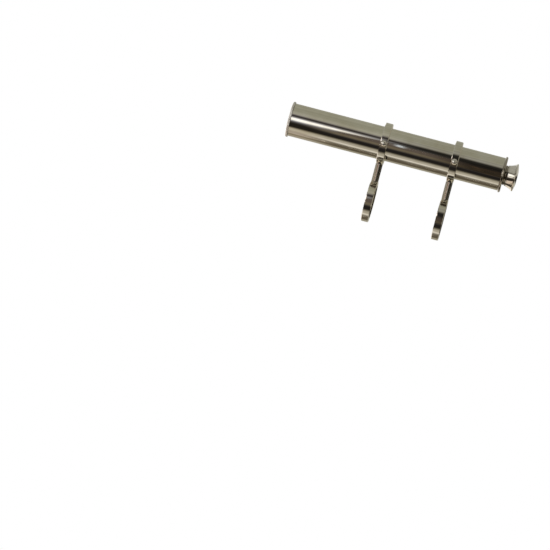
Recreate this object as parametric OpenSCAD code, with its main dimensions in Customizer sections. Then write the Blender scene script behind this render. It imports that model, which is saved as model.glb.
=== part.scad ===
// Finder scope: a plated telescope carried over a larger telescope's tube by two ring brackets.
// +X runs along both axes towards the eyepiece, +Z points up to the finder. The origin is on
// the axis of the lower rings, midway between the two brackets. All sizes are in millimetres.

/* [Finder tube] */
// Outside diameter of the finder tube
finder_d = 44.4; // [36:0.1:56]
// Wall of the finder tube
tube_wall = 1.1; // [0.8:0.1:1.6]
// Length of the finder tube between its two end flanges
tube_len = 288.6; // [236:0.1:350]
// From the front end of the tube to the middle of the front ring
front_reach = 128.1; // [90:0.1:160]

/* [Brackets] */
// From the middle of one bracket to the middle of the other
ring_pitch = 96.4; // [70:0.1:120]
// From the axis of the lower rings to the axis of the finder
axis_gap = 79; // [65:0.5:110]
// Tube of the larger telescope that the lower rings slide onto
telescope_d = 44.4; // [36:0.1:54]
// Wall of every ring
ring_wall = 5.75; // [4.6:0.05:7]
// Width of every ring along the tube
ring_w = 10; // [8:0.1:14]
// Chamfer on the outer corners of a ring
ring_chamfer = 0.7; // [0.2:0.1:1.5]
// Diameter of the pillar between two rings
pillar_d = 9.4; // [7.6:0.1:12]
// Depth that the pillar is let into each ring
pillar_seat = 1; // [0.5:0.1:1.5]
// Diameter of the studs that join pillar and rings
stud_d = 5; // [3:0.1:6]
// Length of a stud inside the pillar
stud_in_pillar = 4; // [2:0.5:6]
// Length of a stud inside the ring
stud_in_ring = 3.2; // [2:0.1:3.5]

/* [Lock screws] */
// Diameter of the shank of a lock screw
screw_d = 4; // [3:0.1:5]
// Diameter of the head of a lock screw
screw_head_d = 8.2; // [6:0.1:9]
// Height of the head of a lock screw
screw_head_h = 3; // [2:0.1:4]
// Height of the upright edge of the head, below its dome
screw_edge_h = 1; // [0.4:0.1:1.5]
// Width of the driver slot
slot_w = 1.2; // [0.8:0.1:1.5]
// Depth of the driver slot
slot_depth = 1.3; // [0.6:0.1:1.6]
// Angle of the driver slot at rest
slot_angle = 40; // [0:5:175]
// Depth of the flat that is faced on a ring under a screw head
spot_depth = 0.8; // [0.5:0.1:1.5]
// Room around the screw head on its flat
spot_margin = 0.4; // [0.2:0.1:1]

/* [Objective] */
// Width of the milled flange in front of the tube
cell_flange_w = 3.3; // [2.5:0.1:6]
// Height that the milled flange stands over the tube
cell_flange_proud = 1.8; // [1:0.1:3]
// Distance between two cuts of the milling
milling_pitch = 1.3; // [0.8:0.1:2]
// Depth of the milling
milling_depth = 0.3; // [0.2:0.05:0.5]
// Width of the plain border on each side of the milling
milling_border = 0.5; // [0.3:0.1:1]
// Step from the bottom of the milling down to the plain border
milling_step = 0.15; // [0.05:0.05:0.3]
// Length of the spigot that screws into the tube
cell_spigot_len = 12; // [10:0.5:20]
// Wall of the spigot
cell_wall = 2; // [1.5:0.1:2.5]
// Thickness of the front lip that stops the lenses
cell_lip_t = 3.4; // [2.5:0.1:5]
// Width of the ledge that holds a lens at its rim
lens_ledge = 1.6; // [1:0.1:2]
// Radius of the curved faces of the objective lenses
objective_curve = 80; // [60:1:140]
// Thickness of the crown lens at its rim
crown_edge_t = 1.8; // [1.5:0.1:3]
// Thickness of the flint lens at its middle
flint_centre_t = 2; // [1.5:0.1:2.5]
// Thickness of the ring that holds the objective lenses in
objective_retainer_t = 2.2; // [1.5:0.1:2.5]

/* [Glare stops] */
// From the front end of the tube to the front glare stop
front_stop_at = 76; // [40:1:90]
// Aperture of the front glare stop
front_stop_d = 28; // [20:0.5:30]
// From the front end of the tube to the rear glare stop
rear_stop_at = 128; // [100:1:134]
// Aperture of the rear glare stop
rear_stop_d = 20; // [12:0.5:26]
// Thickness of the plate of a glare stop
stop_t = 0.8; // [0.5:0.1:1.5]
// Length of the rim that holds a glare stop in the tube
stop_rim_len = 6; // [4:0.5:10]

/* [Rear flange] */
// Width of the round bead behind the tube
rear_flange_w = 3.6; // [3:0.1:6]
// Height that the bead stands over the tube
rear_flange_proud = 2; // [1.5:0.1:2.5]
// Length of the spigot that screws into the tube
rear_spigot_len = 9; // [6:0.5:14]
// Length of the collar behind the bead
boss_len = 3.2; // [2.6:0.1:6]
// Wall of the collar around the draw tube
boss_wall = 1.3; // [1.3:0.1:2.5]

/* [Draw tube] */
// Outside diameter of the draw tube
draw_d = 24; // [20:0.1:29]
// Wall of the draw tube
draw_wall = 0.9; // [0.7:0.1:1.2]
// Length of the draw tube
draw_len = 104; // [86:1:125]
// Wall of the cork liner that grips the draw tube
liner_wall = 1.2; // [0.8:0.1:1.4]
// Wall of the sleeve around the liner
sleeve_wall = 1; // [0.8:0.1:1.2]
// Length of the sleeve inside the main tube
sleeve_len = 50; // [30:1:60]

/* [Eyecup] */
// Diameter of the rim of the eyecup
eyecup_d = 37; // [34.4:0.1:44]
// Step from the collar up to the neck of the eyecup
neck_step = 0.6; // [0.2:0.1:1]
// Length of the plain neck
neck_len = 1.4; // [1:0.1:4]
// Length of the flare from the neck to the rim
flare_len = 8.3; // [7:0.1:14]
// Radius of the hollow flare
flare_curve = 28; // [22:1:60]
// Radius of the round rim
rim_bead_r = 1.35; // [1:0.05:2]
// Height of the domed rear face over the rim
dome_h = 1.95; // [1.2:0.05:3]
// Diameter of the dish around the eye hole, at the rear face
dish_d = 17; // [14:0.5:20]
// Depth of the dish
dish_depth = 3.6; // [2:0.1:4]
// Diameter of the eye hole
eye_hole_d = 10; // [8:0.1:11]
// Depth of the socket that screws onto the draw tube
eyecup_socket = 5; // [3.5:0.1:6]

/* [Inner lenses] */
// Wall of the two lens cells inside the draw tube
lens_cell_wall = 1.4; // [1:0.1:1.6]
// Thickness of the front lip of a lens cell
lens_cell_lip = 1; // [0.8:0.1:2]
// Length of the erector cell
erector_cell_len = 30; // [20:1:32]
// Radius of the curved faces of the erector lenses
erector_curve = 22; // [20:1:40]
// Length of the eyepiece cell
eyepiece_cell_len = 30; // [24:1:34]
// Radius of the curved faces of the eyepiece lenses
eyepiece_curve = 20; // [20:1:40]
// Thickness of an inner lens at its rim
lens_edge_t = 1.2; // [1:0.1:2]
// Thickness of the ring that holds the erector lenses in
erector_retainer_t = 2; // [1.5:0.1:3]
// Wall of the spacer tubes between the lenses
spacer_wall = 1; // [0.8:0.1:1.4]
// Length of the spacer between the field lens and the field stop
field_spacer_len = 9; // [6:0.5:10]
// Aperture of the field stop
field_stop_d = 13; // [8:0.5:14]
// Thickness of the field stop
field_stop_t = 0.8; // [0.5:0.1:1.5]

/* [Spanner notches] */
// Width of the two notches in a retaining ring
notch_w = 1.5; // [1:0.1:2]
// Depth of the two notches in a retaining ring
notch_depth = 1; // [0.5:0.1:1.2]

/* [Fits] */
// Radial clearance of every sliding fit
slide_gap = 0.05; // [0.02:0.01:0.1]
// Radial clearance of screwed and glued fits
thread_gap = 0.05; // [0.02:0.01:0.1]
// Clearance around a lens in its cell
lens_gap = 0.05; // [0.02:0.01:0.1]
// Clearance between faces that only meet at a stop
face_gap = 0.1; // [0.05:0.05:0.3]

/* [Hidden] */

// Facets shown on a round part, and on the large circles of the lens faces
$fn = 96;
curve_fn = 360;
// How far a cut runs past the face that it opens
over = 1;

nickel = "#cfcabd";
bright_brass = "#c9a95c";
black = "#26241f";
glass = "#a9c7cf";
cork = "#a9794c";
steel = "#b9b9b5";

// Brackets
front_ring_x = -ring_pitch / 2;
rear_ring_x = ring_pitch / 2;
finder_r = finder_d / 2;
telescope_r = telescope_d / 2;
finder_ring_bore_r = finder_r + slide_gap;
finder_ring_r = finder_ring_bore_r + ring_wall;
telescope_ring_bore_r = telescope_r + slide_gap;
telescope_ring_r = telescope_ring_bore_r + ring_wall;
pillar_bottom_z = telescope_ring_r - pillar_seat;
pillar_top_z = axis_gap - finder_ring_r + pillar_seat;

// Finder tube
tube_front_x = front_ring_x - front_reach;
tube_rear_x = tube_front_x + tube_len;
tube_bore_r = finder_r - tube_wall;
spigot_r = tube_bore_r - thread_gap;

// Objective: the crown lens rests on the edge of the lip, the flint lens fits its rear face
cell_front_x = tube_front_x - cell_flange_w;
cell_rear_x = tube_front_x + cell_spigot_len;
cell_flange_r = finder_r + cell_flange_proud;
objective_bore_r = spigot_r - cell_wall;
objective_r = objective_bore_r - lens_gap;
objective_clear_r = objective_r - lens_ledge;
crown_front_x = cell_front_x + cell_lip_t + lens_gap
    + sag(objective_curve, objective_r) - sag(objective_curve, objective_clear_r);
crown_rear_x = crown_front_x + crown_edge_t;
flint_rear_x = crown_rear_x + sag(objective_curve, objective_r) + flint_centre_t;

// Rear flange, sleeve and liner
flange_rear_x = tube_rear_x + rear_flange_w;
boss_rear_x = flange_rear_x + boss_len;
rear_spigot_x = tube_rear_x - rear_spigot_len;
draw_r = draw_d / 2;
draw_bore_r = draw_r - draw_wall;
guide_r = draw_r + slide_gap;
boss_r = guide_r + boss_wall;
liner_r = guide_r + liner_wall;
sleeve_bore_r = liner_r + thread_gap;
sleeve_r = sleeve_bore_r + sleeve_wall;
sleeve_front_x = tube_rear_x - sleeve_len;

// Eyecup and draw tube, pushed fully in
neck_r = boss_r + neck_step;
eyecup_r = eyecup_d / 2;
// Angle around the round rim at which the flare meets it
flare_join = 20;
neck_front_x = boss_rear_x + face_gap;
flare_front_x = neck_front_x + neck_len;
rim_front_x = flare_front_x + flare_len;
rim_rear_x = rim_front_x + 2 * rim_bead_r;
dome_rear_x = rim_rear_x + dome_h;
draw_rear_x = neck_front_x + eyecup_socket;
draw_front_x = draw_rear_x - draw_len;
dish_front_x = dome_rear_x - dish_depth;

// Inner lenses, from front to rear
lens_cell_r = draw_bore_r - thread_gap;
lens_bore_r = lens_cell_r - lens_cell_wall;
lens_r = lens_bore_r - lens_gap;
lens_clear_r = lens_r - spacer_wall;
lens_lip_room = sag(erector_curve, lens_r) - sag(erector_curve, lens_clear_r);
erector_front_lens_x = draw_front_x + lens_cell_lip + lens_lip_room + lens_gap;
erector_retainer_x = draw_front_x + erector_cell_len - erector_retainer_t;
erector_rear_lens_x = erector_retainer_x - lens_lip_room - lens_gap - lens_edge_t;
eyepiece_front_x = draw_rear_x - eyepiece_cell_len;
field_lens_x = eyepiece_front_x + lens_cell_lip + lens_gap
    + sag(eyepiece_curve, lens_r) - sag(eyepiece_curve, lens_clear_r);
field_spacer_x = field_lens_x + lens_edge_t;
field_stop_x = field_spacer_x + field_spacer_len;
eye_lens_x = draw_rear_x - lens_edge_t;
eye_spacer_x = field_stop_x + field_stop_t;
eye_spacer_rear_x = eye_lens_x - sag(eyepiece_curve, lens_r) + sag(eyepiece_curve, lens_clear_r);

// Depth of a curved face of the given radius, from its rim at radius r to its middle
function sag(curve, r) = curve - sqrt(curve * curve - r * r);

// Point on the axis that a sphere through the points [r1, x1] and [r2, x2] is centred on
function dome_centre_x(r1, x1, r2, x2) = (x2 * x2 + r2 * r2 - x1 * x1 - r1 * r1) / (2 * (x2 - x1));

// Centre of the arc of the given radius from point a to point b, on the far side of the chord
function arc_centre(a, b, radius) =
    let (half = norm(b - a) / 2, out = [b.y - a.y, a.x - b.x] / norm(b - a))
    (a + b) / 2 + out * sqrt(radius * radius - half * half);

// Turns a [radius, x] profile about the X axis
module turned() {
    rotate([0, 90, 0]) rotate_extrude() children();
}

// Places a piece on the axis of the finder
module on_finder() {
    translate([0, 0, axis_gap]) children();
}

// Plain tube from x0 to x1
module tube(x0, x1, inner_r, outer_r) {
    turned() translate([inner_r, x0]) square([outer_r - inner_r, x1 - x0]);
}

// Lens with its rim from x0 to x1; a curve of 0 is a flat face, and each curve bulges outwards
module lens(x0, x1, r, front_curve, rear_curve) {
    front_sag = front_curve > 0 ? sag(front_curve, r) : 0;
    rear_sag = rear_curve > 0 ? sag(rear_curve, r) : 0;
    turned() intersection() {
        translate([0, x0 - front_sag]) square([r, x1 - x0 + front_sag + rear_sag]);
        if (front_curve > 0)
            translate([0, x0 - front_sag + front_curve]) circle(front_curve, $fn = curve_fn);
        if (rear_curve > 0)
            translate([0, x1 + rear_sag - rear_curve]) circle(rear_curve, $fn = curve_fn);
    }
}

// Retaining ring with two spanner notches in its rear face
module retaining_ring(x0, x1, inner_r, outer_r) {
    difference() {
        tube(x0, x1, inner_r, outer_r);
        translate([x1 - notch_depth, -outer_r - over, -notch_w / 2])
            cube([notch_depth + over, 2 * (outer_r + over), notch_w]);
    }
}

// Blackened cup with a hole, pressed into the main tube to stop stray light
module glare_stop(x, aperture_d) {
    tube(x, x + stop_t, aperture_d / 2, spigot_r);
    tube(x, x + stop_rim_len, spigot_r - stop_t, spigot_r);
}

module main_tube() {
    color(nickel) on_finder() tube(tube_front_x, tube_rear_x, tube_bore_r, finder_r);
}

// Disc with a straight-milled edge
module milled_disc(x0, x1, r) {
    cuts = round(2 * PI * r / milling_pitch);
    edge = [for (i = [0 : 2 * cuts - 1]) let (a = 180 * i / cuts, d = (i % 2) * milling_depth)
        (r - d) * [cos(a), sin(a)]];
    translate([x0, 0, 0]) rotate([0, 90, 0]) linear_extrude(x1 - x0) polygon(edge);
}

module objective_cell() {
    border_r = cell_flange_r - milling_depth - milling_step;
    mouth_front_x = cell_front_x - over;
    mouth_r = objective_clear_r + cell_lip_t / 2;
    color(nickel) on_finder() difference() {
        union() {
            turned() polygon([
                [0, cell_front_x], [border_r - milling_border, cell_front_x],
                [border_r, cell_front_x + milling_border], [border_r, tube_front_x - milling_border],
                [border_r - milling_border, tube_front_x], [spigot_r, tube_front_x],
                [spigot_r, cell_rear_x], [0, cell_rear_x]
            ]);
            milled_disc(cell_front_x + milling_border, tube_front_x - milling_border, cell_flange_r);
        }
        turned() polygon([
            [0, mouth_front_x], [mouth_r + over, mouth_front_x],
            [objective_clear_r, cell_front_x + cell_lip_t / 2],
            [objective_clear_r, cell_front_x + cell_lip_t],
            [objective_bore_r, cell_front_x + cell_lip_t],
            [objective_bore_r, cell_rear_x + over], [0, cell_rear_x + over]
        ]);
    }
}

module objective_crown() {
    color(glass, 0.5) on_finder()
        lens(crown_front_x, crown_rear_x, objective_r, objective_curve, objective_curve);
}

module objective_flint() {
    crown_sag = sag(objective_curve, objective_r);
    color(glass, 0.5) on_finder() turned() difference() {
        translate([0, crown_rear_x]) square([objective_r, flint_rear_x - crown_rear_x]);
        translate([0, crown_rear_x + crown_sag - objective_curve]) circle(objective_curve, $fn = curve_fn);
    }
}

module objective_retainer() {
    rear_x = flint_rear_x + objective_retainer_t;
    color(black) on_finder() retaining_ring(flint_rear_x, rear_x, objective_clear_r, objective_r);
}

module front_glare_stop() {
    color(black) on_finder() glare_stop(tube_front_x + front_stop_at, front_stop_d);
}

module rear_glare_stop() {
    color(black) on_finder() glare_stop(tube_front_x + rear_stop_at, rear_stop_d);
}

// Round bead over the tube, collar with its own small bead, and a spigot that holds the sleeve
module rear_flange() {
    bead_r = rear_flange_w / 2;
    collar_bead_r = boss_wall - thread_gap;
    collar_bead_x = flange_rear_x + boss_len / 2;
    color(nickel) on_finder() turned() difference() {
        union() {
            translate([finder_r + rear_flange_proud - bead_r, tube_rear_x + bead_r]) circle(bead_r);
            translate([0, tube_rear_x]) square([finder_r + rear_flange_proud - bead_r, rear_flange_w]);
            translate([boss_r - collar_bead_r, collar_bead_x]) circle(collar_bead_r);
            translate([0, flange_rear_x - over]) square([boss_r - collar_bead_r / 2, boss_len + over]);
            translate([0, rear_spigot_x]) square([spigot_r, rear_spigot_len + over]);
        }
        translate([0, rear_spigot_x - over]) square([guide_r, boss_rear_x - rear_spigot_x + 2 * over]);
        translate([0, rear_spigot_x - over]) square([sleeve_r + thread_gap, rear_spigot_len + over]);
    }
}

module guide_sleeve() {
    color(bright_brass) on_finder() tube(sleeve_front_x, tube_rear_x, sleeve_bore_r, sleeve_r);
}

module cork_liner() {
    color(cork) on_finder() tube(sleeve_front_x, tube_rear_x, guide_r, liner_r);
}

module draw_tube() {
    color(nickel) on_finder() tube(draw_front_x, draw_rear_x, draw_bore_r, draw_r);
}

// Flared cup with a round rim, a domed rear face and a dish around the eye hole
module eyecup() {
    rim_centre = [eyecup_r - rim_bead_r, rim_front_x + rim_bead_r];
    flare_start = [neck_r, flare_front_x];
    flare_end = rim_centre + rim_bead_r * [sin(flare_join), -cos(flare_join)];
    flare_centre = arc_centre(flare_start, flare_end, flare_curve);
    dish_r = dish_d / 2;
    eye_hole_r = eye_hole_d / 2;
    dome_x = dome_centre_x(rim_centre.x, rim_rear_x, dish_r, dome_rear_x);
    dish_x = dome_centre_x(dish_r, dome_rear_x, eye_hole_r, dish_front_x);
    color(nickel) on_finder() turned() {
        translate(rim_centre) circle(rim_bead_r);
        difference() {
            intersection() {
                polygon([
                    [0, neck_front_x], [neck_r, neck_front_x], flare_start, flare_end,
                    rim_centre, [rim_centre.x, dome_rear_x + over], [0, dome_rear_x + over]
                ]);
                translate([0, dome_x]) circle(norm([dish_r, dome_rear_x - dome_x]), $fn = curve_fn);
            }
            intersection() {
                translate(flare_centre) circle(flare_curve, $fn = curve_fn);
                translate([0, flare_front_x]) square([eyecup_r, flare_end.y - flare_front_x]);
            }
            translate([0, dish_x]) circle(norm([dish_r, dome_rear_x - dish_x]));
            translate([0, neck_front_x - over]) square([eye_hole_r, dome_rear_x - neck_front_x + 2 * over]);
            translate([0, neck_front_x - over]) square([draw_r + thread_gap, eyecup_socket + over]);
        }
    }
}

// Blackened tube with a front lip, which holds a set of lenses inside the draw tube
module lens_cell(x0, x1) {
    tube(x0, x0 + lens_cell_lip, lens_clear_r, lens_cell_r);
    tube(x0, x1, lens_bore_r, lens_cell_r);
}

module erector_cell() {
    color(black) on_finder() lens_cell(draw_front_x, draw_front_x + erector_cell_len);
}

module erector_front_lens() {
    color(glass, 0.5) on_finder()
        lens(erector_front_lens_x, erector_front_lens_x + lens_edge_t, lens_r, erector_curve, 0);
}

module erector_spacer() {
    color(black) on_finder()
        tube(erector_front_lens_x + lens_edge_t, erector_rear_lens_x, lens_clear_r, lens_r);
}

module erector_rear_lens() {
    color(glass, 0.5) on_finder()
        lens(erector_rear_lens_x, erector_rear_lens_x + lens_edge_t, lens_r, 0, erector_curve);
}

module erector_retainer() {
    rear_x = erector_retainer_x + erector_retainer_t;
    color(black) on_finder() retaining_ring(erector_retainer_x, rear_x, lens_clear_r, lens_r);
}

module eyepiece_cell() {
    color(black) on_finder() lens_cell(eyepiece_front_x, draw_rear_x);
}

module field_lens() {
    color(glass, 0.5) on_finder() lens(field_lens_x, field_spacer_x, lens_r, eyepiece_curve, 0);
}

module field_spacer() {
    color(black) on_finder() tube(field_spacer_x, field_stop_x, lens_clear_r, lens_r);
}

module field_stop() {
    color(black) on_finder() tube(field_stop_x, field_stop_x + field_stop_t, field_stop_d / 2, lens_r);
}

module eye_spacer() {
    color(black) on_finder() tube(eye_spacer_x, eye_spacer_rear_x, lens_clear_r, lens_r);
}

module eye_lens() {
    color(glass, 0.5) on_finder() lens(eye_lens_x, draw_rear_x, lens_r, eyepiece_curve, 0);
}

// Bracket ring with its middle at the origin. Its lock screw is on the side of -Y or +Y, as
// screw_side is -1 or 1, and its pillar is below or above it, as pillar_side is -1 or 1.
module ring(bore_r, outer_r, screw_side, pillar_side) {
    half_w = ring_w / 2;
    seat_z = outer_r - pillar_seat;
    stud_z = seat_z - stud_in_ring - face_gap;
    difference() {
        turned() polygon([
            [bore_r, -half_w], [outer_r - ring_chamfer, -half_w], [outer_r, -half_w + ring_chamfer],
            [outer_r, half_w - ring_chamfer], [outer_r - ring_chamfer, half_w], [bore_r, half_w]
        ]);
        rotate([pillar_side > 0 ? 0 : 180, 0, 0]) {
            translate([0, 0, seat_z]) cylinder(r = pillar_d / 2 + thread_gap, h = outer_r);
            translate([0, 0, stud_z]) cylinder(r = stud_d / 2 + thread_gap, h = outer_r);
        }
        rotate([screw_side > 0 ? -90 : 90, 0, 0]) {
            cylinder(r = screw_d / 2 + slide_gap, h = outer_r + over);
            translate([0, 0, outer_r - spot_depth])
                cylinder(r = screw_head_d / 2 + spot_margin, h = outer_r);
        }
    }
}

module front_finder_ring() {
    color(nickel) translate([front_ring_x, 0, axis_gap]) ring(finder_ring_bore_r, finder_ring_r, -1, -1);
}

module rear_finder_ring() {
    color(nickel) translate([rear_ring_x, 0, axis_gap]) ring(finder_ring_bore_r, finder_ring_r, -1, -1);
}

module front_telescope_ring() {
    color(nickel) translate([front_ring_x, 0, 0]) ring(telescope_ring_bore_r, telescope_ring_r, 1, 1);
}

module rear_telescope_ring() {
    color(nickel) translate([rear_ring_x, 0, 0]) ring(telescope_ring_bore_r, telescope_ring_r, 1, 1);
}

// Round pillar, tapped at both ends for its studs
module pillar() {
    tap_r = stud_d / 2 + thread_gap;
    tap_h = stud_in_pillar + face_gap;
    difference() {
        translate([0, 0, pillar_bottom_z]) cylinder(d = pillar_d, h = pillar_top_z - pillar_bottom_z);
        translate([0, 0, pillar_bottom_z - over]) cylinder(r = tap_r, h = tap_h + over);
        translate([0, 0, pillar_top_z - tap_h]) cylinder(r = tap_r, h = tap_h + over);
    }
}

module front_pillar() {
    color(nickel) translate([front_ring_x, 0, 0]) pillar();
}

module rear_pillar() {
    color(nickel) translate([rear_ring_x, 0, 0]) pillar();
}

module pillar_studs() {
    stud_len = stud_in_ring + stud_in_pillar;
    lower_z = pillar_bottom_z - stud_in_ring;
    upper_z = pillar_top_z - stud_in_pillar;
    color(steel) for (x = [front_ring_x, rear_ring_x], z = [lower_z, upper_z])
        translate([x, 0, z]) cylinder(d = stud_d, h = stud_len);
}

// Round-head lock screw for a ring, its tip just clear of the tube, on the side of -Y or +Y
module lock_screw(ring_r, tube_r, side) {
    seat = ring_r - spot_depth + face_gap;
    head_r = screw_head_d / 2;
    top = seat + screw_head_h;
    head_centre = dome_centre_x(head_r, seat + screw_edge_h, 0, top);
    rotate([side > 0 ? -90 : 90, 0, 0]) difference() {
        rotate_extrude() {
            translate([0, tube_r + face_gap]) square([screw_d / 2, seat - tube_r]);
            intersection() {
                translate([0, seat]) square([head_r, screw_head_h]);
                translate([0, head_centre]) circle(top - head_centre);
            }
        }
        rotate([0, 0, slot_angle]) translate([-head_r - over, -slot_w / 2, top - slot_depth])
            cube([2 * (head_r + over), slot_w, screw_head_h]);
    }
}

module front_finder_screw() {
    color(steel) translate([front_ring_x, 0, axis_gap]) lock_screw(finder_ring_r, finder_r, -1);
}

module rear_finder_screw() {
    color(steel) translate([rear_ring_x, 0, axis_gap]) lock_screw(finder_ring_r, finder_r, -1);
}

module front_telescope_screw() {
    color(steel) translate([front_ring_x, 0, 0]) lock_screw(telescope_ring_r, telescope_r + slide_gap, 1);
}

module rear_telescope_screw() {
    color(steel) translate([rear_ring_x, 0, 0]) lock_screw(telescope_ring_r, telescope_r + slide_gap, 1);
}

main_tube();
objective_cell();
objective_crown();
objective_flint();
objective_retainer();
front_glare_stop();
rear_glare_stop();
rear_flange();
guide_sleeve();
cork_liner();
draw_tube();
eyecup();
erector_cell();
erector_front_lens();
erector_spacer();
erector_rear_lens();
erector_retainer();
eyepiece_cell();
field_lens();
field_spacer();
field_stop();
eye_spacer();
eye_lens();
front_finder_ring();
rear_finder_ring();
front_telescope_ring();
rear_telescope_ring();
front_pillar();
rear_pillar();
pillar_studs();
front_finder_screw();
rear_finder_screw();
front_telescope_screw();
rear_telescope_screw();
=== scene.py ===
"""Looks of a nickel-plated finder scope on two ring brackets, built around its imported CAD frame.

+X runs along the scope towards its eyepiece and +Z points up. Sizes are in millimetres where a
name or a comment says so, and every mesh is made in metres.
"""

import logging
import math
from dataclasses import dataclass
from enum import Enum

import bpy
from mathutils import Matrix, Vector


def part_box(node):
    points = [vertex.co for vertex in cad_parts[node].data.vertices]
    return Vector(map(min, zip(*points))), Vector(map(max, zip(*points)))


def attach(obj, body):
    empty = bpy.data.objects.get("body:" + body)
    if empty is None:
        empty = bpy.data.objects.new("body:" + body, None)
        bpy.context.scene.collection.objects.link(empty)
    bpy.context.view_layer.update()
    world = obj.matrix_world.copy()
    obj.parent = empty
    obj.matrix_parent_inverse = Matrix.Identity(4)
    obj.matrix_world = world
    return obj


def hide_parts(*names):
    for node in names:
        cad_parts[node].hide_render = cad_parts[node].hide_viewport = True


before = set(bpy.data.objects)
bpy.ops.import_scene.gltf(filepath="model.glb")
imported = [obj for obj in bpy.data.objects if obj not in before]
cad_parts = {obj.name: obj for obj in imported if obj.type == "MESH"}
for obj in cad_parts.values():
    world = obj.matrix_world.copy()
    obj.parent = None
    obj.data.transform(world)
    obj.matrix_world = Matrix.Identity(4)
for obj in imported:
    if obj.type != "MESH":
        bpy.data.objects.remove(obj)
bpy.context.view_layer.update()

LOG = logging.getLogger("finder_scope")
MM = 0.001
RELIEF = "relief"
# Points of an outline that lie closer than this many millimetres are one
SAME = 1e-6
AXIS_X = Vector((1, 0, 0))
UP = Vector((0, 0, 1))
WHITE = (1.0, 1.0, 1.0, 1.0)

Tree = bpy.types.NodeTree
Node = bpy.types.Node
Socket = bpy.types.NodeSocket
Colour = tuple[float, float, float, float]
Point = tuple[float, float]
# The points of a cut, each with the way that its surface faces
Cut = list[tuple[Point, Point]]


def linear(colour: str, gain: float = 1.0) -> Colour:
    """Turns an sRGB colour into the linear one that Blender's sockets take.

    Args:
        colour: The sRGB colour as hex, such as "#cfcabd".
        gain: How many times brighter the result is.

    Returns:
        Linear red, green and blue, and an alpha of one.
    """
    shares = [int(colour[i : i + 2], 16) / 255 for i in (1, 3, 5)]
    made = [s / 12.92 if s <= 0.04045 else ((s + 0.055) / 1.055) ** 2.4 for s in shares]
    return (made[0] * gain, made[1] * gain, made[2] * gain, 1.0)


def feed(tree: Tree, target: Socket, value: object) -> None:
    """Feeds an input from a node, from one of its outputs, or with a plain value.

    Args:
        tree: The node tree.
        target: The input.
        value: A node, whose first output in use is taken, or an output, or a value.
    """
    if isinstance(value, Node):
        value = next(output for output in value.outputs if output.enabled)
    if isinstance(value, Socket):
        tree.links.new(value, target)
    else:
        target.default_value = value


def add(tree: Tree, kind: str, inputs: dict | None = None, **settings: object) -> Node:
    """Adds a node with its settings, values and links.

    Args:
        tree: The node tree that it goes into.
        kind: The node's type.
        inputs: By the input's name or number, what feeds it.
        **settings: The node's own properties.

    Returns:
        The new node.
    """
    node = tree.nodes.new(kind)
    for name, value in settings.items():
        setattr(node, name, value)
    for name, value in (inputs or {}).items():
        feed(tree, node.inputs[name], value)
    return node


def put(name: str, data: bpy.types.ID) -> bpy.types.Object:
    """Puts an object into the scene, at the origin.

    Args:
        name: The object's name.
        data: Its mesh, light or camera.

    Returns:
        The new object.
    """
    made = bpy.data.objects.new(name, data)
    bpy.context.scene.collection.objects.link(made)
    return made


def settle(piece: bpy.types.Object, modifier: bpy.types.Modifier) -> None:
    """Turns the result of a piece's modifier into its plain mesh.

    Args:
        piece: The piece.
        modifier: Its only modifier, which is removed.
    """
    plain = bpy.data.meshes.new_from_object(
        piece.evaluated_get(bpy.context.evaluated_depsgraph_get())
    )
    piece.modifiers.remove(modifier)
    old = piece.data
    piece.data = plain
    bpy.data.meshes.remove(old)


# --- Patterns ---------------------------------------------------------------------------------


@dataclass(frozen=True)
class Fade:
    """How something grows or dies away along a pattern or a measure.

    Attributes:
        over: The pattern or the measure.
        start: Its value where the fade starts.
        end: Its value where the fade ends.
        low: The strength before the start.
        high: The strength past the end.
        smooth: Whether the fade is eased at both ends.
    """

    over: Node | Socket
    start: float = 0.0
    end: float = 1.0
    low: float = 0.0
    high: float = 1.0
    smooth: bool = False


def strength(tree: Tree, *fades: Fade) -> Node:
    """Works out how strong something is where several fades meet.

    Args:
        tree: The node tree.
        *fades: The fades, whose strengths are multiplied.

    Returns:
        The node that gives the strength.
    """
    made = None
    for fade in fades:
        share = add(
            tree,
            "ShaderNodeMapRange",
            {
                "Value": fade.over,
                "From Min": fade.start,
                "From Max": fade.end,
                "To Min": fade.low,
                "To Max": fade.high,
            },
            interpolation_type="SMOOTHSTEP" if fade.smooth else "LINEAR",
        )
        if made is not None:
            share = add(tree, "ShaderNodeMath", {0: made, 1: share}, operation="MULTIPLY")
        made = share
    return made


def gap(tree: Tree, over: Node | Socket, *places: float) -> Node:
    """Measures how far a value lies from the nearest of some places.

    Args:
        tree: The node tree.
        over: The value.
        *places: The places, on the same scale.

    Returns:
        The node that gives the distance.
    """
    nearest = None
    for place in places:
        past = add(tree, "ShaderNodeMath", {0: over, 1: place}, operation="SUBTRACT")
        away = add(tree, "ShaderNodeMath", {0: past}, operation="ABSOLUTE")
        if nearest is not None:
            away = add(tree, "ShaderNodeMath", {0: nearest, 1: away}, operation="MINIMUM")
        nearest = away
    return nearest


# --- Finishes ---------------------------------------------------------------------------------


class TurnAxis(Enum):
    """The axis that a piece was turned about, as the rotation that takes +X onto it."""

    X = (0.0, 0.0, 0.0)
    Y = (0.0, 0.0, math.pi / 2)
    Z = (0.0, -math.pi / 2, 0.0)


@dataclass(frozen=True)
class Work:
    """Where a piece sat in the lathe, the places along its axis where use shows, and its joints where
    shade is painted.

    Attributes:
        name: The piece's name.
        centre: A point on the axis that it was turned about, in metres.
        axis: The way that axis points.
        worn: Places along the axis, from the centre, where handling has thinned the plate.
        dirt_and_shade: Places along the axis, from the centre, in joints and corners, where the plate
            is darkened by dirt and by painted shade.
    """

    name: str
    centre: tuple[float, float, float]
    axis: TurnAxis = TurnAxis.X
    worn: tuple[float, ...] = ()
    dirt_and_shade: tuple[float, ...] = ()


@dataclass(frozen=True)
class Layer:
    """Something that lies over a bare finish, such as tarnish or dirt.

    Attributes:
        share: The node that gives how strongly it shows.
        colour: Its sRGB colour as hex.
        rougher: How much rougher it makes the surface.
    """

    share: Node
    colour: str
    rougher: float = 0.0


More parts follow.
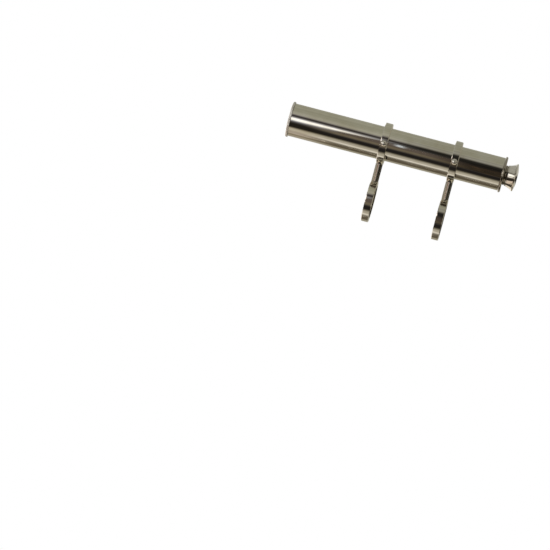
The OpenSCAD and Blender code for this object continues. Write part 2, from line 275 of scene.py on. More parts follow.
def new_material(name: str) -> tuple[bpy.types.Material, Tree, Node]:
    """Makes a material with one surface shader.

    Args:
        name: The material's name.

    Returns:
        The material, its node tree and its shader node.
    """
    material = bpy.data.materials.new(name)
    material.use_nodes = True
    tree = material.node_tree
    return material, tree, tree.nodes["Principled BSDF"]


class Skin:
    """The material of one piece, whose patterns are measured from where it was turned.

    Attributes:
        material: The material.
        tree: Its node tree.
        shader: Its surface shader.
        place: The place on the piece, with the lathe's axis along X.
        along: The distance along that axis.
    """

    def __init__(self, finish: str, work: Work) -> None:
        """Makes the material, and measures the piece in its own lathe.

        Args:
            finish: The finish's name.
            work: Where the piece sat in the lathe.
        """
        self.material, self.tree, self.shader = new_material(f"{finish}_{work.name}")
        where = add(self.tree, "ShaderNodeTexCoord").outputs["Object"]
        self.place = add(
            self.tree,
            "ShaderNodeMapping",
            {"Vector": where, "Location": work.centre, "Rotation": work.axis.value},
            vector_type="TEXTURE",
        )
        self.along = add(self.tree, "ShaderNodeSeparateXYZ", {0: self.place})

    def coat(
        self, base: str, rough: Node | float, layers: list[Layer], metallic: float = 0.0
    ) -> None:
        """Lays layers over a bare finish, each over those before it.

        Args:
            base: The bare finish's sRGB colour as hex.
            rough: Its roughness, or the node that gives it.
            layers: The layers.
            metallic: How far the finish is a metal.
        """
        colour = linear(base)
        for layer in layers:
            colour = add(
                self.tree,
                "ShaderNodeMix",
                {0: layer.share, 6: colour, 7: linear(layer.colour)},
                data_type="RGBA",
            )
            if layer.rougher:
                rough = add(
                    self.tree,
                    "ShaderNodeMath",
                    {0: layer.share, 1: layer.rougher, 2: rough},
                    operation="MULTIPLY_ADD",
                )
        feed(self.tree, self.shader.inputs["Base Color"], colour)
        feed(self.tree, self.shader.inputs["Roughness"], rough)
        self.shader.inputs["Metallic"].default_value = metallic

    def relieve(self, *patterns: tuple[Node | Socket, float]) -> None:
        """Gives the surface fine relief, one pattern over another.

        Args:
            *patterns: Each pattern with its depth in millimetres, the widest first.
        """
        normal = None
        for pattern, depth in patterns:
            inputs = {"Height": pattern, "Distance": depth * MM}
            if normal is not None:
                inputs["Normal"] = normal
            normal = add(self.tree, "ShaderNodeBump", inputs)
        feed(self.tree, self.shader.inputs["Normal"], normal)


@dataclass(frozen=True)
class NickelPlate:
    """Bright nickel, electroplated on turned brass and buffed on a mop.

    It gives the eye a warm mirror whose reflections waver a little, with fine rings left by the
    lathe, soft clouds where the plate has dulled, tarnish freckles, brass at worn corners, and a dark
    layer of dirt and painted shade in its joints.
    """

    name: str = "nickel_plate"
    plate: str = "#d5d1c7"
    dulled: str = "#c8c2b2"
    tarnish: str = "#6b5a44"
    brass: str = "#b59c70"
    # A dark layer in joints and corners: dirt, and painted shade where the parts meet
    dirt_and_shade_colour: str = "#2b241b"
    # Roughness of the bright plate, which doubles where it has dulled
    polish: float = 0.016
    # Clouds of dulled plate are about 22 mm across
    cloud_size: float = 22.0
    # Lathe marks are 0.1 mm apart on the real piece, and drawn 0.7 mm apart so that they show
    mark_pitch: float = 0.7
    mark_depth: float = 0.0001
    mark_rougher: float = 0.005
    # The mop leaves hollows about 14 mm across, drawn out along the axis
    ripple_size: float = 14.0
    ripple_depth: float = 0.012
    ripple_run: float = 6.0
    # Freckles are under half a millimetre wide, and a few millimetres apart
    freckle_spacing: float = 3.4
    # How far wear, and the dirt with painted shade in joints, reach from their places
    worn_reach: float = 0.9
    dirt_and_shade_reach: float = 0.7

    def dress(self, work: Work) -> bpy.types.Material:
        """Makes the plate of one piece.

        Args:
            work: Where the piece sat in the lathe, and where it is worn.

        Returns:
            The material.
        """
        skin = Skin(self.name, work)
        tree, place = skin.tree, skin.place
        clouds = add(
            tree,
            "ShaderNodeTexNoise",
            {"Vector": place, "Scale": 1 / (self.cloud_size * MM), "Detail": 4.0, "Roughness": 0.6},
        )
        squeezed = add(
            tree,
            "ShaderNodeMapping",
            {"Vector": place, "Scale": (1 / (self.mark_pitch * MM), 30.0, 30.0)},
        )
        marks = add(tree, "ShaderNodeTexNoise", {"Vector": squeezed, "Scale": 1.0, "Detail": 2.0})
        dulling = strength(tree, Fade(clouds, 0.35, 0.75, self.polish, self.polish * 2))
        rough = add(
            tree,
            "ShaderNodeMath",
            {0: marks, 1: self.mark_rougher, 2: dulling},
            operation="MULTIPLY_ADD",
        )
        skin.coat(self.plate, rough, self.layers(skin, clouds, work), metallic=1.0)

        drawn_out = add(
            tree, "ShaderNodeMapping", {"Vector": place, "Scale": (1 / self.ripple_run, 1.0, 1.0)}
        )
        ripple = add(
            tree,
            "ShaderNodeTexNoise",
            {"Vector": drawn_out, "Scale": 1 / (self.ripple_size * MM), "Detail": 1.0},
        )
        skin.relieve((ripple, self.ripple_depth), (marks, self.mark_depth))
        return skin.material

    def layers(self, skin: Skin, clouds: Node, work: Work) -> list[Layer]:
        """Works out what lies over the bright plate: clouds, freckles, wear, dirt and painted shade.

        Args:
            skin: The piece's material.
            clouds: Its clouds of dulled plate.
            work: Where the piece is worn, and where dirt and painted shade darken its joints.

        Returns:
            The layers, the lowest first.
        """
        tree = skin.tree
        dots = add(
            tree,
            "ShaderNodeTexVoronoi",
            {"Vector": skin.place, "Scale": 1 / (self.freckle_spacing * MM), "Randomness": 1.0},
        )
        freckles = strength(
            tree, Fade(dots, 0.05, 0.13, 1.0, 0.0), Fade(clouds, 0.5, 0.66, high=0.8)
        )
        made = [
            Layer(strength(tree, Fade(clouds, 0.35, 0.7)), self.dulled),
            Layer(freckles, self.tarnish, 0.25),
        ]
        for places, reach, patchy, colour, rougher in (
            (work.worn, self.worn_reach, Fade(clouds, 0.42, 0.7, high=0.45), self.brass, 0.12),
            # Dirt and painted shade: a dark, rougher layer beside joints and in corners
            (work.dirt_and_shade, self.dirt_and_shade_reach, Fade(clouds, 0.4, 0.65, 0.1, 0.85), self.dirt_and_shade_colour, 0.5),
        ):
            if places:
                close = Fade(gap(tree, skin.along, *places), reach * MM, 0.0, smooth=True)
                made.append(Layer(strength(tree, close, patchy), colour, rougher))
        return made


@dataclass(frozen=True)
class BlackenedBrass:
    """Turned brass blackened in an acid bath, so that it swallows stray light.

    It gives the eye a dull brown-black with a faint satin, fine turning rings, and a few thin
    spots where the brass shows.
    """

    name: str = "blackened_brass"
    black: str = "#1d1a17"
    brown: str = "#37291c"
    brass: str = "#a07c3e"
    cloud_size: float = 5.0
    # Turning rings are about 0.3 mm apart, drawn at 0.5 mm
    ring_pitch: float = 0.5
    ring_depth: float = 0.01

    def dress(self, work: Work) -> bpy.types.Material:
        """Makes the blackened skin of one piece.

        Args:
            work: Where the piece sat in the lathe.

        Returns:
            The material.
        """
        skin = Skin(self.name, work)
        tree = skin.tree
        clouds = add(
            tree,
            "ShaderNodeTexNoise",
            {"Vector": skin.place, "Scale": 1 / (self.cloud_size * MM), "Detail": 6.0},
        )
        rings = add(
            tree,
            "ShaderNodeTexNoise",
            {"W": skin.along, "Scale": 1 / (self.ring_pitch * MM), "Detail": 1.0},
            noise_dimensions="1D",
        )
        layers = [
            Layer(strength(tree, Fade(clouds, 0.35, 0.7)), self.brown),
            Layer(strength(tree, Fade(clouds, 0.7, 0.78, high=0.7)), self.brass),
        ]
        rough = strength(tree, Fade(clouds, low=0.62, high=0.42))
        skin.coat(self.black, rough, layers, metallic=0.6)
        skin.relieve((rings, self.ring_depth))
        return skin.material


@dataclass(frozen=True)
class DrawnBrass:
    """Brass tube, drawn through a die and left bare.

    It gives the eye a yellow metal with fine lines along the tube and brown patches of oxide.
    """

    name: str = "drawn_brass"
    brass: str = "#d2ae62"
    oxide: str = "#8a6432"
    patch_size: float = 9.0
    # Die lines are finer than 0.1 mm on the real tube, and drawn 0.4 mm apart
    line_pitch: float = 0.4
    line_length: float = 40.0
    line_depth: float = 0.004

    def dress(self, work: Work) -> bpy.types.Material:
        """Makes the bare brass of one piece.

        Args:
            work: Where the piece's axis lies.

        Returns:
            The material.
        """
        skin = Skin(self.name, work)
        tree = skin.tree
        fine, long = 1 / (self.line_pitch * MM), 1 / (self.line_length * MM)
        stretched = add(
            tree, "ShaderNodeMapping", {"Vector": skin.place, "Scale": (long, fine, fine)}
        )
        lines = add(tree, "ShaderNodeTexNoise", {"Vector": stretched, "Scale": 1.0})
        patches = add(
            tree,
            "ShaderNodeTexNoise",
            {"Vector": skin.place, "Scale": 1 / (self.patch_size * MM), "Detail": 5.0},
        )
        oxide = Layer(strength(tree, Fade(patches, 0.45, 0.75, high=0.8)), self.oxide)
        skin.coat(self.brass, strength(tree, Fade(lines, low=0.2, high=0.38)), [oxide], metallic=1.0)
        skin.relieve((lines, self.line_depth))
        return skin.material


@dataclass(frozen=True)
class TurnedSteel:
    """Free-cutting steel, turned and oiled.

    It gives the eye a grey satin with rings from the tool and a few rust-brown pores.
    """

    name: str = "turned_steel"
    steel: str = "#a9a8a4"
    rust: str = "#6a4a33"
    pore_size: float = 1.2
    # Tool rings are 0.15 mm apart, drawn at 0.4 mm
    ring_pitch: float = 0.4
    ring_depth: float = 0.01

    def dress(self, work: Work) -> bpy.types.Material:
        """Makes the turned steel of one piece.

        Args:
            work: Where the piece sat in the lathe.

        Returns:
            The material.
        """
        skin = Skin(self.name, work)
        tree = skin.tree
        rings = add(
            tree,
            "ShaderNodeTexNoise",
            {"W": skin.along, "Scale": 1 / (self.ring_pitch * MM), "Detail": 2.0},
            noise_dimensions="1D",
        )
        pores = add(
            tree,
            "ShaderNodeTexNoise",
            {"Vector": skin.place, "Scale": 1 / (self.pore_size * MM), "Detail": 3.0},
        )
        rust = Layer(strength(tree, Fade(pores, 0.62, 0.72, high=0.7)), self.rust)
        skin.coat(self.steel, strength(tree, Fade(rings, low=0.24, high=0.4)), [rust], metallic=1.0)
        skin.relieve((rings, self.ring_depth))
        return skin.material


@dataclass(frozen=True)
class OpticalGlass:
    """Ground and pitch-polished crown or flint glass, uncoated.

    It gives the eye a clear lens with a bright, sharp reflection, a trace of green in its depth
    and a thin dust that the cloth leaves.
    """

    name: str
    tint: str
    ior: float
    clear: str = "#f6f9f5"
    film_size: float = 12.0
    # Dust grains are 0.05 mm across, and drawn 0.3 mm wide
    dust_size: float = 0.3

    def dress(self, work: Work) -> bpy.types.Material:
        """Makes the glass of one lens.

        Args:
            work: Where the lens lies.

        Returns:
            The material.
        """
        skin = Skin(self.name, work)
        tree = skin.tree
        dust, film = (
            add(
                tree,
                "ShaderNodeTexNoise",
                {"Vector": skin.place, "Scale": 1 / (size * MM), "Detail": 2.0},
            )
            for size in (self.dust_size, self.film_size)
        )
        tinted = Layer(strength(tree, Fade(film, high=0.5)), self.tint)
        skin.coat(self.clear, strength(tree, Fade(dust, 0.6, 0.8, high=0.05)), [tinted])
        skin.shader.inputs["Transmission Weight"].default_value = 1.0
        skin.shader.inputs["IOR"].default_value = self.ior
        return skin.material


CROWN = OpticalGlass("crown_glass", "#e3efe6", 1.52)
FLINT = OpticalGlass("flint_glass", "#ece9d8", 1.62)


@dataclass(frozen=True)
class CorkSheet:
    """Composition cork, sliced thin and glued into the sleeve.

    It gives the eye tan granules one or two millimetres across, with dark binder between them.
    """

    name: str = "cork"
    granule: str = "#b5875a"
    pale: str = "#cda77a"
    binder: str = "#5f3f24"
    rough: float = 0.88
    granule_size: float = 1.5
    seam_depth: float = 0.12

    def dress(self, work: Work) -> bpy.types.Material:
        """Makes the cork of one piece.

        Args:
            work: Where the piece's axis lies.

        Returns:
            The material.
        """
        skin = Skin(self.name, work)
        tree = skin.tree
        cells = add(
            tree,
            "ShaderNodeTexVoronoi",
            {"Vector": skin.place, "Scale": 1 / (self.granule_size * MM)},
        )
        shade = add(tree, "ShaderNodeSeparateColor", {0: cells.outputs["Color"]})
        seams = strength(tree, Fade(cells, 0.45, 0.75, high=0.85))
        skin.coat(self.granule, self.rough, [Layer(shade, self.pale), Layer(seams, self.binder)])
        skin.relieve((cells, -self.seam_depth))
        return skin.material


# --- Turning ----------------------------------------------------------------------------------


@dataclass(frozen=True)
class Corner:
    """A corner of a turned outline, and the cut that leads from it to the next one.

    Attributes:
        x: Its place along the axis, in millimetres.
        r: Its distance from the axis, in millimetres.
        soft: The radius that the corner is broken to, between two straight cuts.
        around: The centre of the arc to the next corner as (x, r), or None for a straight cut.
        row: The spacing of the rows of a cut that carries relief, or zero for a plain one.
    """

    x: float
    r: float
    soft: float = 0.0
    around: Point | None = None
    row: float = 0.0


@dataclass
class Outline:
    """A closed outline of a turned piece, listed so that the solid lies on its left."""

    corners: list[Corner]
    # Degrees of a broken corner or an arc that one facet takes
    facet: float = 7.5

    def trims(self) -> list[float]:
        """Works out how much of the cuts beside each corner its broken edge takes.

        Returns:
            The length taken at each corner, in millimetres.
        """
        made = []
        count = len(self.corners)
        for i, corner in enumerate(self.corners):
            before, after = self.corners[i - 1], self.corners[(i + 1) % count]
            if corner.soft <= 0 or corner.around or before.around:
                made.append(0.0)
                continue
            first = math.atan2(corner.r - before.r, corner.x - before.x)
            second = math.atan2(after.r - corner.r, after.x - corner.x)
            turn = (second - first + math.pi) % (2 * math.pi) - math.pi
            made.append(corner.soft * abs(math.tan(turn / 2)))
        return made

    def arc(self, start: Point, end: Point, centre: Point) -> Cut:
        """Follows an arc the short way round.

        Args:
            start: Where it starts, as (x, r).
            end: Where it ends.
            centre: Its centre.

        Returns:
            Its points, each with the direction that its surface faces.
        """
        radius = math.dist(start, centre)
        first = math.atan2(start[1] - centre[1], start[0] - centre[0])
        last = math.atan2(end[1] - centre[1], end[0] - centre[0])
        turn = (last - first + math.pi) % (2 * math.pi) - math.pi
        steps = max(2, math.ceil(abs(math.degrees(turn)) / self.facet))
        side = 1.0 if turn > 0 else -1.0
        made = []
        for k in range(steps + 1):
            angle = first + turn * k / steps
            facing = (math.cos(angle), math.sin(angle))
            point = (centre[0] + radius * facing[0], centre[1] + radius * facing[1])
            made.append((point, (side * facing[0], side * facing[1])))
        made[0] = (start, made[0][1])
        made[-1] = (end, made[-1][1])
        return made

    def cuts(self) -> list[tuple[Cut, bool]]:
        """Works out every cut of the outline.

        Returns:
            For each cut its points with the way they face, and whether it carries relief.
        """
        made = []
        trims = self.trims()
        count = len(self.corners)
        for i, corner in enumerate(self.corners):
            after = self.corners[(i + 1) % count]
            start, end = (corner.x, corner.r), (after.x, after.r)
            if corner.around:
                made.append((self.arc(start, end, corner.around), corner.row > 0))
                continue
            length = math.dist(start, end)
            along = ((end[0] - start[0]) / length, (end[1] - start[1]) / length)
            facing = (along[1], -along[0])
            low, high = trims[i], length - trims[(i + 1) % count]
            rows = max(1, round((high - low) / corner.row)) if corner.row else 1
            places = [low + (high - low) * k / rows for k in range(rows + 1)]
            points = [(start[0] + along[0] * p, start[1] + along[1] * p) for p in places]
            if trims[i]:
                made.append((self.broken_edge(made, points[0], facing, corner), False))
            made.append(([(p, facing) for p in points], corner.row > 0))
        if trims[0]:
            first = made.pop(0)
            last_point, last_facing = made[-1][0][-1]
            end_point, end_facing = first[0][-1]
            blend = self.corner_arc(last_point, last_facing, end_point, end_facing)
            made.append((blend, False))
        return made

    def broken_edge(
        self, made: list[tuple[Cut, bool]], start: Point, facing: Point, corner: Corner
    ) -> Cut:
        """Rounds the corner between the last cut and the one that starts here.

        Args:
            made: The cuts so far.
            start: Where the next cut starts.
            facing: The way that the next cut faces.
            corner: The corner that is broken.

        Returns:
            The points of the rounded corner, each with the way it faces.
        """
        if not made:
            return [((corner.x, corner.r), facing), (start, facing)]
        before, before_facing = made[-1][0][-1]
        return self.corner_arc(before, before_facing, start, facing)

    def corner_arc(
        self, start: Point, start_facing: Point, end: Point, end_facing: Point
    ) -> Cut:
        """Joins two cuts by an arc that leaves one and meets the other smoothly.

        Args:
            start: The end of the first cut.
            start_facing: The way it faces there.
            end: The start of the second cut.
            end_facing: The way it faces there.

        Returns:
            The arc's points, each with the way it faces.
        """
        cross = start_facing[0] * end_facing[1] - start_facing[1] * end_facing[0]
        side = 1.0 if cross > 0 else -1.0
        half = math.atan2(cross, sum(a * b for a, b in zip(start_facing, end_facing))) / 2
        radius = math.dist(start, end) / (2 * abs(math.sin(half)))
        centre = (
            start[0] - side * radius * start_facing[0],
            start[1] - side * radius * start_facing[1],
        )
        return self.arc(start, end, centre)


@dataclass(frozen=True)
class Lathe:
    """How a piece is held while it is turned.

    Attributes:
        centre: The point of the axis that x is measured from, in metres.
        axis: The way the axis points.
        side: The way that the first meridian lies.
    """

    centre: Vector
    axis: Vector = AXIS_X
    side: Vector = UP


def turned(name: str, outline: Outline, lathe: Lathe, steps: int) -> bpy.types.Object:
    """Turns an outline about an axis into a closed mesh with exact surface directions.

    Args:
        name: The new piece's name.
        outline: The section, in millimetres.
        lathe: How the piece is held.
        steps: How many facets go round.

    Returns:
        The new object.
    """
    centre, axis, side = lathe.centre, lathe.axis, lathe.side
    points, marks, edges = [], [], []
    for cut, relief in outline.cuts():
        for k, (point, facing) in enumerate(cut):
            if points and math.dist(points[-1], point) < SAME:
                marks[-1] = marks[-1] or relief
            else:
                points.append(point)
                marks.append(relief)
            if k:
                edges.append((len(points) - 2, len(points) - 1, cut[k - 1][1], facing))
    if math.dist(points[0], points[-1]) < SAME:
        points.pop()
        marks[0] = marks.pop() or marks[0]
    count = len(points)
    third = axis.cross(side)
    around = [
        side * math.cos(2 * math.pi * j / steps) + third * math.sin(2 * math.pi * j / steps)
        for j in range(steps)
    ]
    vertices, relief_marks, first_of, is_pole = [], [], [], []
    for (x, r), mark in zip(points, marks):
        first_of.append(len(vertices))
        is_pole.append(r < SAME)
        for way in around[: 1 if r < SAME else steps]:
            vertices.append(centre + axis * (x * MM) + way * (r * MM))
            relief_marks.append(1.0 if mark else 0.0)
    faces, normals = [], []
    for a, b, a_facing, b_facing in edges:
        a, b = a % count, b % count
        if is_pole[a] and is_pole[b]:
            continue
        for j in range(steps):
            after = (j + 1) % steps
            ring = [(a, j, a_facing), (b, j, b_facing), (b, after, b_facing), (a, after, a_facing)]
            if is_pole[b]:
                ring.pop(2)
            if is_pole[a]:
                ring.pop()
            faces.append([first_of[i] + (0 if is_pole[i] else k) for i, k, _ in ring])
            normals += [axis * facing[0] + around[k] * facing[1] for _, k, facing in ring]
    mesh = bpy.data.meshes.new(name)
    mesh.from_pydata(vertices, [], faces)
    mesh.shade_smooth()
    mesh.normals_split_custom_set(normals)
    mesh.attributes.new(RELIEF, "FLOAT", "POINT").data.foreach_set("value", relief_marks)
    return put(name, mesh)


class ReliefTree:
    """Geometry nodes that cut a groove pattern into the marked rows of a turned piece.

    A straight milling runs along the axis, and a screw thread winds round it: both are a wave
    whose phase grows along the axis and around it.
    """

    INPUTS = (
        ("Centre", "Vector"),
        ("Axis", "Vector"),
        ("Side", "Vector"),
        ("Turns Per Metre", "Float"),
        ("Cuts Around", "Float"),
        ("Depth", "Float"),
        ("Finish", "Material"),
    )

    def __init__(self) -> None:
        """Builds the tree once for every piece that has a milled or threaded stretch."""
        self.tree = bpy.data.node_groups.new("cut_relief", "GeometryNodeTree")
        face = self.tree.interface
        face.new_socket("Geometry", in_out="INPUT", socket_type="NodeSocketGeometry")
        for name, kind in self.INPUTS:
            face.new_socket(name, in_out="INPUT", socket_type=f"NodeSocket{kind}")
        face.new_socket("Geometry", in_out="OUTPUT", socket_type="NodeSocketGeometry")
        self.build()

    def build(self) -> None:
        """Adds the tree's nodes."""
        tree = self.tree
        given = add(tree, "NodeGroupInput").outputs
        axis, side = given["Axis"], given["Side"]
        place = add(tree, "GeometryNodeInputPosition")
        reach = add(
            tree, "ShaderNodeVectorMath", {0: place, 1: given["Centre"]}, operation="SUBTRACT"
        )
        third = add(tree, "ShaderNodeVectorMath", {0: axis, 1: side}, operation="CROSS_PRODUCT")
        along, near_side, far_side = (
            add(tree, "ShaderNodeVectorMath", {0: reach, 1: way}, operation="DOT_PRODUCT")
            for way in (axis, side, third)
        )
        on_axis = add(tree, "ShaderNodeVectorMath", {0: axis, "Scale": along}, operation="SCALE")
        radial = add(tree, "ShaderNodeVectorMath", {0: reach, 1: on_axis}, operation="SUBTRACT")
        outward = add(tree, "ShaderNodeVectorMath", {0: radial}, operation="NORMALIZE")

        angle = add(tree, "ShaderNodeMath", {0: far_side, 1: near_side}, operation="ARCTAN2")
        turn = add(tree, "ShaderNodeMath", {0: angle, 1: 2 * math.pi}, operation="DIVIDE")
        lead = add(
            tree, "ShaderNodeMath", {0: along, 1: given["Turns Per Metre"]}, operation="MULTIPLY"
        )
        phase = add(
            tree,
            "ShaderNodeMath",
            {0: turn, 1: given["Cuts Around"], 2: lead},
            operation="MULTIPLY_ADD",
        )
        # The wave runs from nothing to a half and back, and cuts inwards to its full depth
        wave = add(tree, "ShaderNodeMath", {0: phase, 1: 0.5}, operation="PINGPONG")
        marked = add(
            tree, "GeometryNodeInputNamedAttribute", {"Name": RELIEF}, data_type="FLOAT"
        )
        for factor in (marked, given["Depth"], -2.0):
            wave = add(tree, "ShaderNodeMath", {0: wave, 1: factor}, operation="MULTIPLY")
        offset = add(
            tree, "ShaderNodeVectorMath", {0: outward, "Scale": wave}, operation="SCALE"
        )
        moved = add(
            tree, "GeometryNodeSetPosition", {"Geometry": given["Geometry"], "Offset": offset}
        )
        real = add(tree, "GeometryNodeRealizeInstances", {0: moved})
        dressed = add(
            tree, "GeometryNodeSetMaterial", {"Geometry": real, "Material": given["Finish"]}
        )
        add(tree, "NodeGroupOutput", {0: dressed})

    def cut(
        self,
        piece: bpy.types.Object,
        finish: bpy.types.Material,
        lathe: Lathe,
        pitch: float,
        depth: float,
        around: int = 1,
    ) -> None:
        """Cuts the marked rows of a piece, and turns the result into a plain mesh.

        Args:
            piece: The turned piece.
            finish: Its material.
            lathe: How it was held in the lathe.
            pitch: The thread's pitch in millimetres, or zero for straight milling.
            depth: The depth of a cut, in millimetres.
            around: How many cuts go round, which is one for a single thread.
        """
        values = {
            "Centre": lathe.centre,
            "Axis": lathe.axis,
            "Side": lathe.side,
            "Turns Per Metre": 1 / (pitch * MM) if pitch else 0.0,
            "Cuts Around": float(around),
            "Depth": depth * MM,
            "Finish": finish,
        }
        modifier = piece.modifiers.new("relief", "NODES")
        modifier.node_group = self.tree
        for item in self.tree.interface.items_tree:
            if item.in_out == "INPUT" and item.name in values:
                modifier[item.identifier] = values[item.name]
        settle(piece, modifier)


def take(piece: bpy.types.Object, body: str, slot: str, *nodes: str) -> None:
    """Puts a finished piece in place of its CAD nodes, on their body.

    Args:
        piece: The finished piece.
        body: The CAD body that it moves with.
        slot: The record's material slot; not used.
        *nodes: The CAD nodes that it stands for.
    """
    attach(piece, body)
    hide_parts(*nodes)
    LOG.info("%s: %d faces, on %s", piece.name, len(piece.data.polygons), body)


def dress_node(node: str, material: bpy.types.Material) -> None:
    """Gives a CAD node its material.

    Args:
        node: The node's name.
        material: The material.
    """
    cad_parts[node].material_slots[0].material = material
    LOG.info("%s: CAD shape, %s", node, material.name)


@dataclass(frozen=True)
class Span:
    """How far a CAD node reaches, in millimetres.

    Attributes:
        front: Its low end along x.
        rear: Its high end along x.
        bottom: Its low end along z.
        top: Its high end along z.
        centre: The middle of its box, in metres.
    """

    front: float
    rear: float
    bottom: float
    top: float
    centre: Vector

    @classmethod
    def of(cls, node: str) -> "Span":
        """Reads a node's box from the CAD frame.

        Args:
            node: The node's name.

        Returns:
            How far it reaches.
        """
        low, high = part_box(node)
        return cls(low.x / MM, high.x / MM, low.z / MM, high.z / MM, (low + high) / 2)

    @property
    def r(self) -> float:
        """Half the height, which is the radius of a ring or a tube that lies along x."""
        return (self.top - self.bottom) / 2

    @property
    def half_width(self) -> float:
        """Half the length along x."""
        return (self.rear - self.front) / 2


# --- Sub-assemblies ---------------------------------------------------------------------------


@dataclass
class FinderSizes:
    """Sizes that the sub-assemblies of the finder share, read from the CAD frame.

    Attributes:
        tube_wall: The wall of the main tube.
        fit: The clearance of every sliding or screwed fit.
        tube: How far the main tube reaches.
        draw_r: The outer radius of the draw tube.
        centre: The point of the finder's axis that x is measured from, in metres.
        lathe: How the finder's own pieces were held in the lathe.
    """

    tube_wall: float = 1.1
    fit: float = 0.05

    def __post_init__(self) -> None:
        """Reads what the CAD frame says."""
        self.tube = Span.of("main_tube")
        self.draw_r = Span.of("draw_tube").r
        self.centre = Vector((0.0, 0.0, self.tube.centre.z))
        self.lathe = Lathe(self.centre)

    @property
    def spigot_r(self) -> float:
        """The radius of what screws into the main tube."""
        return self.tube.r - self.tube_wall - self.fit

    @property
    def guide_r(self) -> float:
        """The radius of what the draw tube slides in."""
        return self.draw_r + self.fit

    def work(self, name: str, worn: tuple[float, ...] = (), dirt_and_shade: tuple[float, ...] = ()) -> Work:
        """Says where a piece of the finder sat in the lathe.

        Args:
            name: The piece's name.
            worn: Places along x where the plate is thin, in millimetres.
            dirt_and_shade: Places along x where dirt and painted shade darken the plate, in
                millimetres.

        Returns:
            The piece's work.
        """
        worn, dirt_and_shade = (tuple(x * MM for x in places) for places in (worn, dirt_and_shade))
        return Work(name, tuple(self.centre), TurnAxis.X, worn, dirt_and_shade)


@dataclass
class Objective:
    """The front end: milled cell, crown and flint lens, and the ring that holds them."""

    sizes: FinderSizes
    relief: ReliefTree
    black: BlackenedBrass
    # The milled rim is plated over its cut, so it scatters light instead of mirroring it.
    # Its plate is also painted paler than the bright plate, a painted sheen for the light that the
    # milling catches.
    plate: NickelPlate = NickelPlate(
        "milled_nickel_painted_sheen", plate="#efece6", dulled="#dcd7ce", polish=0.17
    )
    bore_wall: float = 2.0
    ledge: float = 1.65
    lip: float = 3.4
    border: float = 0.5
    # The front edge of the rim is rounded over before it is milled
    edge: float = 1.5
    milling_pitch: float = 1.3
    milling_depth: float = 0.3
    milling_start: float = 0.15
    milling_row: float = 0.5
    step: float = 0.15
    # The thread that holds the cell in the tube, and its plain ends
    thread_pitch: float = 0.75
    thread_depth: float = 0.3
    runout: float = 1.0
    rows_per_cut: int = 4

    def build(self) -> None:
        """Makes the cell, and dresses the lenses and their ring."""
        sizes = self.sizes
        cell_span = Span.of("objective_cell")
        cuts = round(2 * math.pi * cell_span.r / self.milling_pitch)
        cell = turned(
            "milled_objective_cell", self.outline(cell_span), sizes.lathe, cuts * self.rows_per_cut
        )
        front, seam = cell_span.front, sizes.tube.front
        # The last places are dirt and painted shade, just in front of the seam with the tube
        work = sizes.work("objective_cell", (front, front + self.border), (seam - 0.2,))
        self.cut_relief(cell, self.plate.dress(work), cuts)
        take(cell, "barrel", "nickel_plate", "objective_cell")
        for node, finish in (
            ("objective_retainer", self.black),
            ("objective_crown", CROWN),
            ("objective_flint", FLINT),
        ):
            dress_node(node, finish.dress(sizes.work(node)))

    def outline(self, span: Span) -> Outline:
        """Draws the cell's section.

        Args:
            span: How far the cell reaches.

        Returns:
            The section.
        """
        front, rear, rim_r = span.front, span.rear, span.r
        seam, spigot_r = self.sizes.tube.front, self.sizes.spigot_r
        core_r = rim_r - self.milling_depth - self.step
        bore_r = spigot_r - self.bore_wall
        clear_r = bore_r - self.ledge
        mouth = self.lip / 2
        rounded = (front + self.edge, rim_r - self.edge)
        return Outline(
            [
                Corner(front, clear_r + mouth, soft=0.15),
                Corner(front + mouth, clear_r, soft=0.2),
                Corner(front + self.lip, clear_r, soft=0.1),
                Corner(front + self.lip, bore_r),
                Corner(rear, bore_r, soft=0.15),
                Corner(rear, spigot_r, soft=0.3),
                Corner(rear - self.runout, spigot_r, row=self.thread_pitch / self.rows_per_cut),
                Corner(seam + self.runout, spigot_r),
                Corner(seam, spigot_r),
                Corner(seam, core_r - self.border, soft=0.12),
                Corner(seam - self.border, core_r),
                Corner(seam - self.border, rim_r, soft=0.08),
                Corner(seam - self.border - self.milling_start, rim_r, row=self.milling_row),
                Corner(front + self.edge, rim_r, around=rounded, row=self.milling_row),
                Corner(front, rim_r - self.edge),
            ]
        )

    def cut_relief(self, cell: bpy.types.Object, finish: bpy.types.Material, cuts: int) -> None:
        """Mills the rim, and then cuts the thread of the spigot.

        Args:
            cell: The turned cell.
            finish: The cell's material.
            cuts: How many cuts the milling has.
        """
        marks = [0.0] * len(cell.data.vertices)
        cell.data.attributes[RELIEF].data.foreach_get("value", marks)
        seam = self.sizes.tube.front * MM
        on_rim = [vertex.co.x < seam for vertex in cell.data.vertices]
        for rim, pitch, depth, around in (
            (True, 0.0, self.milling_depth, cuts),
            (False, self.thread_pitch, self.thread_depth, 1),
        ):
            shown = [mark if there == rim else 0.0 for mark, there in zip(marks, on_rim)]
            cell.data.attributes[RELIEF].data.foreach_set("value", shown)
            self.relief.cut(cell, finish, self.sizes.lathe, pitch, depth, around)


